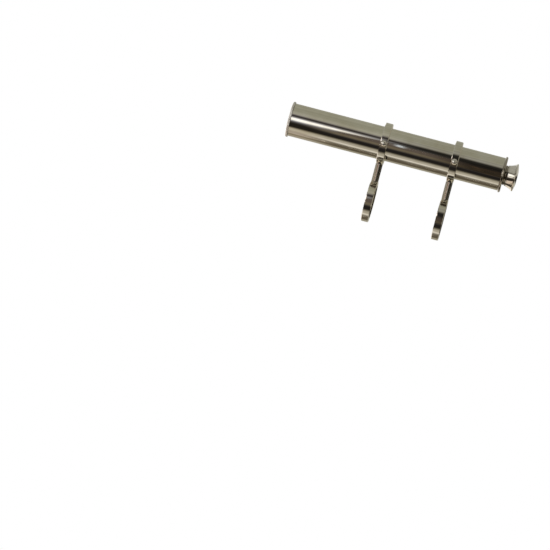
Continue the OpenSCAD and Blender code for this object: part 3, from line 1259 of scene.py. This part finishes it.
@dataclass
class Barrel:
    """The main tube with its glare stops, and the flange that guides the draw tube."""

    sizes: FinderSizes
    relief: ReliefTree
    plate: NickelPlate
    black: BlackenedBrass
    # Held by the fingers at each focusing, so its plate has dulled
    handled: NickelPlate = NickelPlate(
        "handled_nickel", plate="#a59f93", dulled="#8c8474", polish=0.06
    )
    flange_w: float = 3.6
    flange_proud: float = 2.0
    collar_wall: float = 1.3
    sleeve_walls: float = 2.3
    thread_pitch: float = 0.75
    thread_depth: float = 0.3
    runout: float = 0.8
    steps: int = 192

    def build(self) -> None:
        """Makes the flange, and dresses the tube and what is inside it."""
        sizes = self.sizes
        # Dirt and painted shade darken both ends of the tube, where the cell and the flange meet it
        ends = (sizes.tube.front, sizes.tube.rear)
        dress_node("main_tube", self.plate.dress(sizes.work("main_tube", dirt_and_shade=ends)))
        for node, finish in (
            ("front_glare_stop", self.black),
            ("rear_glare_stop", self.black),
            ("guide_sleeve", DrawnBrass()),
            ("cork_liner", CorkSheet()),
        ):
            dress_node(node, finish.dress(sizes.work(node)))
        self.build_flange()

    def build_flange(self) -> None:
        """Turns the flange: a round bead, a collar with its own bead, and a threaded spigot."""
        sizes = self.sizes
        span = Span.of("rear_flange")
        front, rear, seam = span.front, span.rear, sizes.tube.rear
        bead_r = self.flange_w / 2
        bead = (seam + bead_r, sizes.tube.r + self.flange_proud - bead_r)
        face_x = seam + self.flange_w
        ring_bead_r = self.collar_wall - sizes.fit
        collar_r = sizes.guide_r + ring_bead_r / 2 + sizes.fit
        ring = ((face_x + rear) / 2, sizes.guide_r + sizes.fit)
        half_chord = math.sqrt(ring_bead_r**2 - (collar_r - ring[1]) ** 2)
        spigot_bore = sizes.guide_r + self.sleeve_walls
        outline = Outline(
            [
                Corner(front, spigot_bore),
                Corner(seam, spigot_bore),
                Corner(seam, sizes.guide_r),
                Corner(rear, sizes.guide_r, soft=0.15),
                Corner(rear, collar_r, soft=0.15),
                Corner(ring[0] + half_chord, collar_r, around=ring),
                Corner(ring[0], ring[1] + ring_bead_r, around=ring),
                Corner(ring[0] - half_chord, collar_r),
                Corner(face_x, collar_r),
                Corner(face_x, bead[1], around=bead),
                Corner(bead[0], bead[1] + bead_r, around=bead),
                Corner(seam, bead[1]),
                Corner(seam, sizes.spigot_r),
                Corner(seam - self.runout, sizes.spigot_r, row=self.thread_pitch / 4),
                Corner(front + self.runout, sizes.spigot_r),
                Corner(front, sizes.spigot_r),
            ]
        )
        flange = turned("beaded_rear_flange", outline, sizes.lathe, self.steps)
        # Dirt and painted shade darken the seam with the tube and the corner where the bead meets the
        # collar
        finish = self.handled.dress(sizes.work("rear_flange", (ring[0],), (seam, face_x)))
        self.relief.cut(flange, finish, sizes.lathe, self.thread_pitch, self.thread_depth)
        take(flange, "barrel", "nickel_plate", "rear_flange")


@dataclass
class Eyepiece:
    """What moves to focus: the draw tube with its lenses, and the flared eyecup."""

    sizes: FinderSizes
    relief: ReliefTree
    plate: NickelPlate
    black: BlackenedBrass
    draw_wall: float = 0.9
    collar_wall: float = 1.3
    neck_step: float = 0.6
    neck_len: float = 1.4
    socket: float = 5.0
    flare_len: float = 8.3
    flare_curve: float = 28.0
    rim_bead_r: float = 1.35
    flare_join: float = 20.0
    dome_h: float = 1.95
    dish_r: float = 8.5
    dish_depth: float = 3.6
    eye_hole_r: float = 5.0
    thread_pitch: float = 0.75
    thread_depth: float = 0.2
    steps: int = 192
    facet: float = 4.0

    def build(self) -> None:
        """Makes the draw tube and the eyecup, and dresses the lenses and their cells."""
        self.build_draw_tube()
        self.build_eyecup()
        blackened = (
            "erector_cell",
            "erector_spacer",
            "erector_retainer",
            "eyepiece_cell",
            "field_spacer",
            "field_stop",
            "eye_spacer",
        )
        lenses = ("erector_front_lens", "erector_rear_lens", "field_lens", "eye_lens")
        for finish, nodes in ((self.black, blackened), (CROWN, lenses)):
            for node in nodes:
                dress_node(node, finish.dress(self.sizes.work(node)))

    def build_draw_tube(self) -> None:
        """Turns the draw tube, threaded where the eyecup screws on."""
        sizes = self.sizes
        span = Span.of("draw_tube")
        front, rear = span.front, span.rear
        bore_r = sizes.draw_r - self.draw_wall
        outline = Outline(
            [
                Corner(front, bore_r, soft=0.2),
                Corner(rear, bore_r, soft=0.1),
                Corner(rear, sizes.draw_r, soft=0.2),
                Corner(rear - 0.5, sizes.draw_r, row=self.thread_pitch / 4),
                Corner(rear - self.socket + 0.3, sizes.draw_r),
                Corner(front, sizes.draw_r, soft=0.3),
            ]
        )
        tube = turned("sliding_draw_tube", outline, sizes.lathe, self.steps // 2)
        # Dirt and painted shade darken the tube where the eyecup's front edge meets it
        finish = self.plate.dress(sizes.work("draw_tube", dirt_and_shade=(rear - self.socket,)))
        self.relief.cut(tube, finish, sizes.lathe, self.thread_pitch, self.thread_depth)
        take(tube, "eyepiece", "nickel_plate", "draw_tube")

    def build_eyecup(self) -> None:
        """Turns the eyecup: neck, hollow flare, round rim, dome and dish."""
        sizes = self.sizes
        span = Span.of("eyecup")
        front = span.front
        neck_r = sizes.guide_r + self.collar_wall + self.neck_step
        flare_x = front + self.neck_len
        bead = (flare_x + self.flare_len + self.rim_bead_r, span.r - self.rim_bead_r)
        join = math.radians(self.flare_join)
        flare_end = (
            bead[0] - self.rim_bead_r * math.cos(join),
            bead[1] + self.rim_bead_r * math.sin(join),
        )
        bead_rear = bead[0] + self.rim_bead_r
        # The dome stays inside the CAD shape
        dome_rear = min(bead_rear + self.dome_h, span.rear)
        dish_front = dome_rear - self.dish_depth
        dome_x = self.axis_centre((bead_rear, bead[1]), (dome_rear, self.dish_r))
        dish_x = self.axis_centre((dome_rear, self.dish_r), (dish_front, self.eye_hole_r))
        flare = self.hollow_centre((flare_x, neck_r), flare_end)
        socket_r = sizes.draw_r + sizes.fit
        outline = Outline(
            [
                Corner(front, socket_r, soft=0.12),
                Corner(front + self.socket, socket_r),
                Corner(front + self.socket, self.eye_hole_r, soft=0.15),
                Corner(dish_front, self.eye_hole_r),
                Corner(dish_front, self.eye_hole_r + 0.001, around=(dish_x, 0.0)),
                Corner(dome_rear, self.dish_r, around=(dome_x, 0.0)),
                Corner(bead_rear, bead[1], around=bead),
                Corner(*flare_end, around=flare),
                Corner(flare_x, neck_r),
                Corner(front, neck_r, soft=0.3),
            ],
            self.facet,
        )
        cup = turned("flared_eyecup", outline, sizes.lathe, self.steps)
        # Dirt and painted shade darken the front edge and the corner where the neck meets the flare
        work = sizes.work("eyecup", (bead[0], dome_rear), (front, flare_x))
        cup.data.materials.append(self.plate.dress(work))
        take(cup, "eyepiece", "nickel_plate", "eyecup")

    def hollow_centre(self, start: Point, end: Point) -> Point:
        """Finds the centre of the hollow flare, which lies outside the metal.

        Args:
            start: Where the flare leaves the neck, as (x, r).
            end: Where it meets the rim.

        Returns:
            The centre.
        """
        length = math.dist(start, end)
        way = ((end[0] - start[0]) / length, (end[1] - start[1]) / length)
        reach = math.sqrt(self.flare_curve**2 - (length / 2) ** 2)
        middle = ((start[0] + end[0]) / 2, (start[1] + end[1]) / 2)
        return (middle[0] - way[1] * reach, middle[1] + way[0] * reach)

    def axis_centre(self, first: Point, second: Point) -> float:
        """Finds the point on the axis that two points of a spherical face share as centre.

        Args:
            first: A point of the face, as (x, r).
            second: Another one.

        Returns:
            The centre's place along the axis.
        """
        (x1, r1), (x2, r2) = first, second
        return (x2 * x2 + r2 * r2 - x1 * x1 - r1 * r1) / (2 * (x2 - x1))


class End(Enum):
    """The end of the finder that a bracket holds."""

    FRONT = "front"
    REAR = "rear"


class Held(Enum):
    """The tube that a ring holds."""

    FINDER = "finder"
    TELESCOPE = "telescope"


@dataclass
class Bracket:
    """One bracket: the ring on the finder, the ring on the telescope, pillar and lock screws."""

    end: End
    relief: ReliefTree
    plate: NickelPlate
    # Cast, filed and buffed by hand, so its skin waves more than that of a turned tube
    buffed: NickelPlate = NickelPlate(
        "hand_buffed_nickel", polish=0.05, ripple_size=9.0, ripple_depth=0.05, ripple_run=1.6
    )
    screw_plate: NickelPlate = NickelPlate(
        "plated_steel_screw", plate="#cfccc4", polish=0.09, mark_pitch=0.4, cloud_size=6.0
    )
    ring_wear: float = 0.4
    # Dirt and painted shade darken the pillar this many millimetres below its top
    pillar_dirt_and_shade: float = 1.0
    pillar_steps: int = 96
    tap_r: float = 2.55
    tap_h: float = 4.1
    shank_r: float = 2.0
    edge_h: float = 1.0
    head_h: float = 3.0
    seat_depth: float = 0.7
    point_h: float = 0.4
    slot_w: float = 1.2
    slot_depth: float = 1.3
    slot_angle: float = 40.0
    thread_pitch: float = 0.7
    thread_depth: float = 0.25
    screw_steps: int = 72
    screw_facet: float = 5.0
    # Edges that meet at more than this many degrees stay sharp beside the slot
    sharp: float = 32.0

    def build(self) -> None:
        """Makes the pillar and the lock screws, and dresses the rings."""
        for held in Held:
            ring = f"{self.end.value}_{held.value}_ring"
            span = Span.of(ring)
            edge = (span.half_width - self.ring_wear) * MM
            work = Work(ring, tuple(span.centre), worn=(-edge, edge))
            dress_node(ring, self.plate.dress(work))
            self.build_screw(held, span)
        self.build_pillar()

    def build_pillar(self) -> None:
        """Turns the pillar, tapped at both ends."""
        node = f"{self.end.value}_pillar"
        span = Span.of(node)
        bottom, top, r = span.bottom, span.top, span.half_width
        outline = Outline(
            [
                Corner(bottom, self.tap_r, soft=0.2),
                Corner(bottom + self.tap_h, self.tap_r),
                Corner(bottom + self.tap_h, 0.0),
                Corner(top - self.tap_h, 0.0),
                Corner(top - self.tap_h, self.tap_r),
                Corner(top, self.tap_r, soft=0.2),
                Corner(top, r, soft=0.3),
                Corner(bottom, r, soft=0.3),
            ]
        )
        foot = Vector((span.centre.x, span.centre.y, 0.0))
        lathe = Lathe(foot, UP, AXIS_X)
        pillar = turned(f"turned_{node}", outline, lathe, self.pillar_steps)
        # Dirt and painted shade darken the pillar just below its top
        dirt_and_shade = ((top - self.pillar_dirt_and_shade) * MM,)
        work = Work(node, tuple(foot), TurnAxis.Z, dirt_and_shade=dirt_and_shade)
        pillar.data.materials.append(self.buffed.dress(work))
        take(pillar, "brackets", "nickel_plate", node)

    def build_screw(self, held: Held, ring: Span) -> None:
        """Turns a lock screw, threads it and cuts the driver slot in its domed head.

        Args:
            held: The tube that it clamps.
            ring: How far its ring reaches.
        """
        node = f"{self.end.value}_{held.value}_screw"
        low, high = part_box(node)
        way = Vector((0, -1 if low.y + high.y < 0 else 1, 0))
        tip = min(abs(low.y), abs(high.y)) / MM
        head_r = (high.x - low.x) / 2 / MM
        seat = ring.r - self.seat_depth
        top, edge = seat + self.head_h, seat + self.edge_h
        dome_x = (top * top - edge * edge - head_r * head_r) / (2 * (top - edge))
        outline = Outline(
            [
                Corner(top, 0.0, around=(dome_x, 0.0)),
                Corner(edge, head_r),
                Corner(seat, head_r, soft=0.15),
                Corner(seat, self.shank_r),
                Corner(seat - 0.4, self.shank_r, row=self.thread_pitch / 4),
                Corner(tip + self.point_h + 0.2, self.shank_r),
                Corner(tip, self.shank_r - self.point_h, soft=0.1),
                Corner(tip, 0.0),
            ],
            self.screw_facet,
        )
        lathe = Lathe(ring.centre, way, AXIS_X)
        screw = turned(f"slotted_{node}", outline, lathe, self.screw_steps)
        # Dirt and painted shade darken the screw where its head seats on the ring
        worn, dirt_and_shade = (way.y * edge * MM,), (way.y * seat * MM,)
        work = Work(node, tuple(ring.centre), TurnAxis.Y, worn, dirt_and_shade)
        finish = self.screw_plate.dress(work)
        self.relief.cut(screw, finish, lathe, self.thread_pitch, self.thread_depth)
        self.cut_slot(screw, lathe, top, head_r)
        take(screw, f"{self.end.value}_{held.value}_lock", "plated_screw", node)

    def cut_slot(self, screw: bpy.types.Object, lathe: Lathe, top: float, head_r: float) -> None:
        """Cuts the driver slot.

        Args:
            screw: The screw.
            lathe: How it was held in the lathe.
            top: The top of its head from the ring's axis, in millimetres.
            head_r: The radius of its head.
        """
        way = lathe.axis
        angle = math.radians(self.slot_angle)
        run = Vector((math.cos(angle), 0, -way.y * math.sin(angle)))
        across = way.cross(run)
        reach, half = (head_r + 1) * MM, self.slot_w / 2 * MM
        corners = [
            lathe.centre + run * (reach * a) + across * (half * b) + way * (height * MM)
            for height in (top - self.slot_depth, top + 1)
            for a, b in ((-1, -1), (1, -1), (1, 1), (-1, 1))
        ]
        sides = [(3, 2, 1, 0), (4, 5, 6, 7), (0, 1, 5, 4), (1, 2, 6, 5), (2, 3, 7, 6), (3, 0, 4, 7)]
        mesh = bpy.data.meshes.new("slot_cutter")
        mesh.from_pydata(corners, [], sides)
        cutter = put("slot_cutter", mesh)
        modifier = screw.modifiers.new("slot", "BOOLEAN")
        modifier.operation = "DIFFERENCE"
        modifier.solver = "EXACT"
        modifier.object = cutter
        settle(screw, modifier)
        bpy.data.objects.remove(cutter)
        bpy.data.meshes.remove(mesh)
        screw.data.set_sharp_from_angle(angle=math.radians(self.sharp))


# --- Studio -----------------------------------------------------------------------------------


@dataclass(frozen=True)
class Card:
    """A card, flag or softbox beside the scope, seen in the metal as a band.

    Attributes:
        start: Where it starts, on the scale of the row of cards that it stands in.
        end: Where it ends, which is the start for a thin one.
        colour: Its colour as sRGB hex.
        gain: How many times brighter it is than that.
    """

    start: float
    end: float
    colour: str
    gain: float = 1.0


class Sky:
    """The direction that light comes from, measured in the ways that the cards are placed.

    Attributes:
        tree: The world's node tree.
        way: The direction.
        x: Its part along the scope.
        z: Its upward part.
        turn: Its elevation in degrees, round from the camera's side over the top.
        wide: How far it lies to the left or the right.
    """

    def __init__(self, tree: Tree) -> None:
        """Adds the nodes that measure it.

        Args:
            tree: The world's node tree.
        """
        self.tree = tree
        self.way = add(tree, "ShaderNodeTexCoord").outputs["Generated"]
        self.x, y, self.z = add(tree, "ShaderNodeSeparateXYZ", {0: self.way}).outputs
        nearer = add(tree, "ShaderNodeMath", {0: y, 1: -1.0}, operation="MULTIPLY")
        angle = add(tree, "ShaderNodeMath", {0: self.z, 1: nearer}, operation="ARCTAN2")
        self.turn = add(tree, "ShaderNodeMath", {0: angle}, operation="DEGREES")
        self.wide = add(tree, "ShaderNodeMath", {0: self.x}, operation="ABSOLUTE")


# A light that covers what lies behind it: how strongly, and its colour or the node that gives it
Cover = tuple[Node, Node | Colour]


@dataclass
class Studio:
    """Soft studio light, a pale floor and the camera.

    Four rows of cards run along the scope, and are placed by elevation in degrees, round from
    the camera's side over the top: one off its front end, one off its rear end, and one for
    what faces further aside on the left and on the right. A fifth row stands level round it,
    placed by its x direction. Places that are pairs say where something starts to fade, and
    where the fade ends, as an x direction or as an elevation.
    """

    peak: float = 3.0
    front_row: tuple[Card, ...] = (
        Card(-180, -130, "#b6ae9f"),
        Card(-126, -110, "#a39885"),
        Card(-103, -98, "#cdc1b5"),
        Card(-91, -80, "#c2b7a9"),
        Card(-72, -63, "#dad2bf"),
        Card(-54, -54, "#807766"),
        Card(-47, -24, "#2a2621"),
        Card(-18, -18, "#3f3c3b"),
        Card(-11, -11, "#6b696c"),
        Card(-4, -4, "#c8c8d3"),
        Card(2, 12, "#ffffff", 1.7),
        Card(17, 17, "#d0d0da"),
        Card(24, 24, "#6c6a6a"),
        Card(29, 33, "#403b3c"),
        Card(39, 39, "#949090"),
        Card(46, 56, "#bbbaae"),
        Card(72, 150, "#aeae9f"),
    )
    rear_row: tuple[Card, ...] = (
        Card(-180, -134, "#b1ac9b"),
        Card(-126, -100, "#6f6657"),
        Card(-89, -89, "#9a958b"),
        Card(-82, -76, "#f0ebe2", 1.05),
        Card(-72, -63, "#d0cabd"),
        Card(-54, -54, "#898373"),
        Card(-47, -31, "#2a2726"),
        Card(-25, -25, "#4d4946"),
        Card(-18, -11, "#817766"),
        Card(-4, 11, "#6e635c"),
        Card(17, 17, "#504e4e"),
        Card(23, 34, "#2c2b29"),
        Card(39, 39, "#5e5b56"),
        Card(47, 56, "#a8a7a0"),
        Card(72, 150, "#aaaa9c"),
    )
    left_row: tuple[Card, ...] = (
        Card(-180, -160, "#ffffff", 1.6),
        Card(-152, -128, "#f2eae2", 1.4),
        Card(-120, -97, "#4a4239"),
        Card(-88, -58, "#e8d8cc", 1.2),
        Card(-50, -30, "#2e2a27"),
        Card(-20, -16, "#6a625c"),
        Card(-8, 24, "#ffffff", 1.7),
        Card(32, 38, "#77736c"),
        Card(50, 148, "#b8b7b0"),
        Card(160, 170, "#ffffff", 1.3),
    )
    right_row: tuple[Card, ...] = (
        Card(-180, -160, "#dcdad2"),
        Card(-150, -128, "#a09c90"),
        Card(-120, -94, "#575044"),
        Card(-86, -58, "#e0dac8", 1.1),
        Card(-50, -24, "#2c2925"),
        Card(-12, 22, "#b8b2a6"),
        Card(30, 40, "#3e3a33"),
        Card(50, 160, "#b6b4ab"),
    )
    level_row: tuple[Card, ...] = (
        Card(-1.0, -0.75, "#a5a196"),
        Card(-0.62, -0.3, "#98705e"),
        Card(-0.1, 0.2, "#99958a"),
        Card(0.4, 0.995, "#1c1915"),
    )
    # Where the front row gives way to the rear one. The softbox hangs aslant, so its reflection
    # narrows towards the eyepiece.
    join: Point = (-0.078, -0.064)
    lean: float = 0.03
    lean_up_to: float = 24.0
    # A dark doorway with lit wood in it faces the eyepiece end
    door_side: Point = (-0.032, -0.014)
    door_foot: Point = (-28.0, -23.0)
    door_head: Point = (22.0, 28.0)
    door_strength: float = 0.9
    door_colour: str = "#1d1a17"
    wood_colour: str = "#56432f"
    wood_top: Point = (2.0, 9.0)
    wood_stretch: tuple[float, float, float] = (210.0, 27.0, 27.0)
    # A small strip lamp stands behind the camera
    strip_x: float = -0.0413
    strip_turn: float = 9.0
    strip_edge: Point = (0.0003, 0.0019)
    strip_ends: Point = (2.0, 10.0)
    strip_colour: str = "#dce8f6"
    strip_gain: float = 1.7
    # Low things glint between the scope and the table
    glint_turn: float = -96.0
    glint_ends: Point = (5.0, 12.0)
    glint_colour: str = "#fff6e6"
    glint_gain: float = 1.2
    glint_stretch: tuple[float, float, float] = (330.0, 22.0, 22.0)
    # How far aside the side rows and the level row take over, and where left meets right
    side_start: Point = (0.12, 0.2)
    side_join: Point = (-0.05, 0.05)
    # Round windows off both ends, by direction, colour and gain
    windows: tuple[tuple[tuple[float, float, float], str, float], ...] = (
        ((-0.995, 0.0, 0.08), "#fff4ee", 1.8),
        ((1.0, 0.0, 0.0), "#a8a59b", 1.0),
    )
    window_edge: Point = (0.975, 0.988)
    level_z: float = -0.011
    level_edge: Point = (0.025, 0.05)
    unevenness: Point = (0.86, 1.12)
    floor_z: float = -0.6
    floor_half: float = 5.0
    # Softboxes that light what isn't a mirror, by name, place in metres, watts and size
    softboxes: tuple[tuple[str, tuple[float, float, float], float, float], ...] = (
        ("key_softbox", (-0.8, -1.2, 1.6), 28.0, 1.4),
        ("fill_softbox", (1.2, 0.9, 1.1), 12.0, 1.2),
    )
    camera_place: tuple[float, float, float] = (0.1207, -3.6, 0.079)
    camera_aim: tuple[float, float, float] = (-0.1457, 0.0, -0.1278)
    camera_roll: float = 14.65
    camera_lens: float = 176.7

    def build(self) -> None:
        """Makes the world, the lamps, the floor and the camera."""
        self.build_world()
        self.build_lamps()
        self.build_floor()
        self.build_camera()

    def row(self, tree: Tree, place: Node | Socket, cards: tuple[Card, ...], reach: float) -> Node:
        """Lays cards one after another.

        Args:
            tree: The world's node tree.
            place: The place on the row's scale.
            cards: The cards in order.
            reach: The scale runs from minus this to plus this, and joins its ends.

        Returns:
            The node that gives the light from there.
        """
        node = add(tree, "ShaderNodeValToRGB", {0: strength(tree, Fade(place, -reach, reach))})
        stops = []
        for card in cards:
            shade = linear(card.colour, card.gain / self.peak)
            ends = (card.start, card.end)[: 1 if card.start == card.end else 2]
            stops += [(end / (2 * reach) + 0.5, shade) for end in ends]
        first, last = node.color_ramp.elements
        first.position, first.color = stops[0]
        last.position, last.color = 1.0, stops[0][1]
        for position, shade in stops[1:]:
            node.color_ramp.elements.new(position).color = shade
        return node

    def build_world(self) -> None:
        """Lays cards and softboxes round the scope, on a white background."""
        world = bpy.data.worlds.new("studio")
        bpy.context.scene.world = world
        world.use_nodes = True
        tree = world.node_tree
        tree.nodes.clear()
        sky = Sky(tree)
        light = self.row(tree, sky.turn, self.front_row, 180.0)
        for share, over in (
            self.rear_cover(sky),
            self.door_cover(sky),
            self.strip_cover(sky),
            self.glint_cover(sky),
            *self.side_covers(sky),
        ):
            light = add(tree, "ShaderNodeMix", {0: share, 6: light, 7: over}, data_type="RGBA")
        uneven = add(tree, "ShaderNodeTexNoise", {"Vector": sky.way, "Scale": 9.0, "Detail": 3.0})
        shade = strength(tree, Fade(uneven, 0.3, 0.7, *self.unevenness))
        light = add(
            tree, "ShaderNodeVectorMath", {0: light, "Scale": shade}, operation="SCALE"
        )
        cards = add(tree, "ShaderNodeBackground", {0: light, 1: self.peak})
        paper = add(tree, "ShaderNodeBackground", {0: WHITE, 1: 1.0})
        seen = add(tree, "ShaderNodeLightPath").outputs["Is Camera Ray"]
        both = add(tree, "ShaderNodeMixShader", {0: seen, 1: cards, 2: paper})
        add(tree, "ShaderNodeOutputWorld", {0: both})

    def rear_cover(self, sky: Sky) -> Cover:
        """Puts the rear row beside the front one, along an edge that leans.

        Args:
            sky: The direction that light comes from.

        Returns:
            How strongly the rear row shows, and its light.
        """
        tree = sky.tree
        lean = strength(tree, Fade(sky.turn, 0.0, self.lean_up_to, 0.0, self.lean))
        leaning = add(tree, "ShaderNodeMath", {0: sky.x, 1: lean}, operation="SUBTRACT")
        rear = self.row(tree, sky.turn, self.rear_row, 180.0)
        return strength(tree, Fade(leaning, *self.join)), rear

    def door_cover(self, sky: Sky) -> Cover:
        """Opens the dark doorway, with lit wood grain low in it.

        Args:
            sky: The direction that light comes from.

        Returns:
            How strongly the doorway shows, and its light.
        """
        tree = sky.tree
        door = strength(
            tree,
            Fade(sky.x, *self.door_side, high=self.door_strength),
            Fade(sky.turn, *self.door_foot),
            Fade(sky.turn, *self.door_head, 1.0, 0.0),
        )
        run = add(tree, "ShaderNodeMapping", {"Vector": sky.way, "Scale": self.wood_stretch})
        grain = add(tree, "ShaderNodeTexNoise", {"Vector": run, "Scale": 1.0, "Detail": 3.0})
        wood = strength(
            tree, Fade(grain, 0.45, 0.62, high=0.8), Fade(sky.turn, *self.wood_top, 1.0, 0.0)
        )
        dark, lit = (linear(c, 1 / self.peak) for c in (self.door_colour, self.wood_colour))
        inside = add(tree, "ShaderNodeMix", {0: wood, 6: dark, 7: lit}, data_type="RGBA")
        return door, inside

    def strip_cover(self, sky: Sky) -> Cover:
        """Hangs the strip lamp.

        Args:
            sky: The direction that light comes from.

        Returns:
            How strongly the lamp shows, and its colour.
        """
        tree = sky.tree
        lamp = strength(
            tree,
            Fade(gap(tree, sky.x, self.strip_x), *self.strip_edge, 1.0, 0.0),
            Fade(gap(tree, sky.turn, self.strip_turn), *self.strip_ends, 1.0, 0.0),
        )
        return lamp, linear(self.strip_colour, self.strip_gain / self.peak)

    def glint_cover(self, sky: Sky) -> Cover:
        """Strews the low glints.

        Args:
            sky: The direction that light comes from.

        Returns:
            How strongly they show, and their colour.
        """
        tree = sky.tree
        run = add(tree, "ShaderNodeMapping", {"Vector": sky.way, "Scale": self.glint_stretch})
        specks = add(tree, "ShaderNodeTexNoise", {"Vector": run, "Scale": 1.0, "Detail": 1.0})
        glints = strength(
            tree,
            Fade(specks, 0.64, 0.72),
            Fade(gap(tree, sky.turn, self.glint_turn), *self.glint_ends, 1.0, 0.0),
        )
        return glints, linear(self.glint_colour, self.glint_gain / self.peak)

    def side_covers(self, sky: Sky) -> list[Cover]:
        """Stands the side rows, the two windows and the level row off both ends.

        Args:
            sky: The direction that light comes from.

        Returns:
            How strongly each shows and its light, the furthest first.
        """
        tree = sky.tree
        left, right = (
            self.row(tree, sky.turn, cards, 180.0) for cards in (self.left_row, self.right_row)
        )
        sides = add(
            tree,
            "ShaderNodeMix",
            {0: strength(tree, Fade(sky.x, *self.side_join)), 6: left, 7: right},
            data_type="RGBA",
        )
        aside = Fade(sky.wide, *self.side_start)
        covers = [(strength(tree, aside), sides)]
        for facing, colour, gain in self.windows:
            towards = add(
                tree, "ShaderNodeVectorMath", {0: sky.way, 1: facing}, operation="DOT_PRODUCT"
            )
            disc = strength(tree, Fade(towards, *self.window_edge))
            covers.append((disc, linear(colour, gain / self.peak)))
        height = Fade(gap(tree, sky.z, self.level_z), *self.level_edge, 1.0, 0.0)
        level = self.row(tree, sky.x, self.level_row, 1.0)
        return [*covers, (strength(tree, height, aside), level)]

    def build_lamps(self) -> None:
        """Hangs the softboxes, out of sight of the mirrors."""
        for name, place, watts, size in self.softboxes:
            data = bpy.data.lights.new(name, "AREA")
            data.energy = watts
            data.size = size
            lamp = put(name, data)
            lamp.location = place
            lamp.rotation_mode = "QUATERNION"
            lamp.rotation_quaternion = (-Vector(place)).to_track_quat("-Z", "Y")
            lamp.visible_glossy = False

    def build_floor(self) -> None:
        """Lays a plain pale floor well below the scope."""
        half = self.floor_half
        corners = [(a * half, b * half, self.floor_z) for a, b in ((-1, -1), (1, -1), (1, 1), (-1, 1))]
        mesh = bpy.data.meshes.new("pale_floor")
        mesh.from_pydata(corners, [], [(0, 1, 2, 3)])
        floor = put("pale_floor", mesh)
        material, tree, shader = new_material("white_paper_sweep")
        shader.inputs["Base Color"].default_value = linear("#f2f1ee")
        shader.inputs["Roughness"].default_value = 0.9
        # White to the camera, unlit from below, and paper to all other light
        glow = add(tree, "ShaderNodeEmission", {0: WHITE, 1: 1.0})
        seen = add(tree, "ShaderNodeLightPath").outputs["Is Camera Ray"]
        paper = add(tree, "ShaderNodeMixShader", {0: seen, 1: shader, 2: glow})
        under = add(tree, "ShaderNodeNewGeometry").outputs["Backfacing"]
        clear = add(tree, "ShaderNodeBsdfTransparent")
        shown = add(tree, "ShaderNodeMixShader", {0: under, 1: paper, 2: clear})
        feed(tree, tree.nodes["Material Output"].inputs["Surface"], shown)
        mesh.materials.append(material)
        floor.visible_glossy = False

    def build_camera(self) -> None:
        """Sets the camera level with the scope and off its eyepiece end, rolled a little."""
        roll = math.radians(self.camera_roll)
        place = Vector(self.camera_place)
        back = (place - Vector(self.camera_aim)).normalized()
        up = Vector((-math.sin(roll), 0.0, math.cos(roll)))
        right = up.cross(back).normalized()
        up = back.cross(right)
        data = bpy.data.cameras.new("camera")
        data.lens = self.camera_lens
        data.sensor_width = 36.0
        data.clip_start, data.clip_end = 0.1, 50.0
        camera = put("camera", data)
        axes = Matrix((right, up, back)).transposed().to_4x4()
        camera.matrix_world = Matrix.Translation(place) @ axes
        bpy.context.scene.camera = camera


def main() -> None:
    """Builds the studio and every sub-assembly."""
    logging.basicConfig(level=logging.INFO, format="%(message)s")
    view = bpy.context.scene.view_settings
    view.view_transform = "Standard"
    view.look = "None"
    Studio().build()
    sizes = FinderSizes()
    relief = ReliefTree()
    plate = NickelPlate()
    black = BlackenedBrass()
    Objective(sizes, relief, black).build()
    Barrel(sizes, relief, plate, black).build()
    Eyepiece(sizes, relief, plate, black).build()
    for end in End:
        Bracket(end, relief, plate).build()
    studs = Work("pillar_studs", (0.0, 0.0, 0.0), TurnAxis.Z)
    dress_node("pillar_studs", TurnedSteel().dress(studs))


if __name__ == "__main__":
    main()
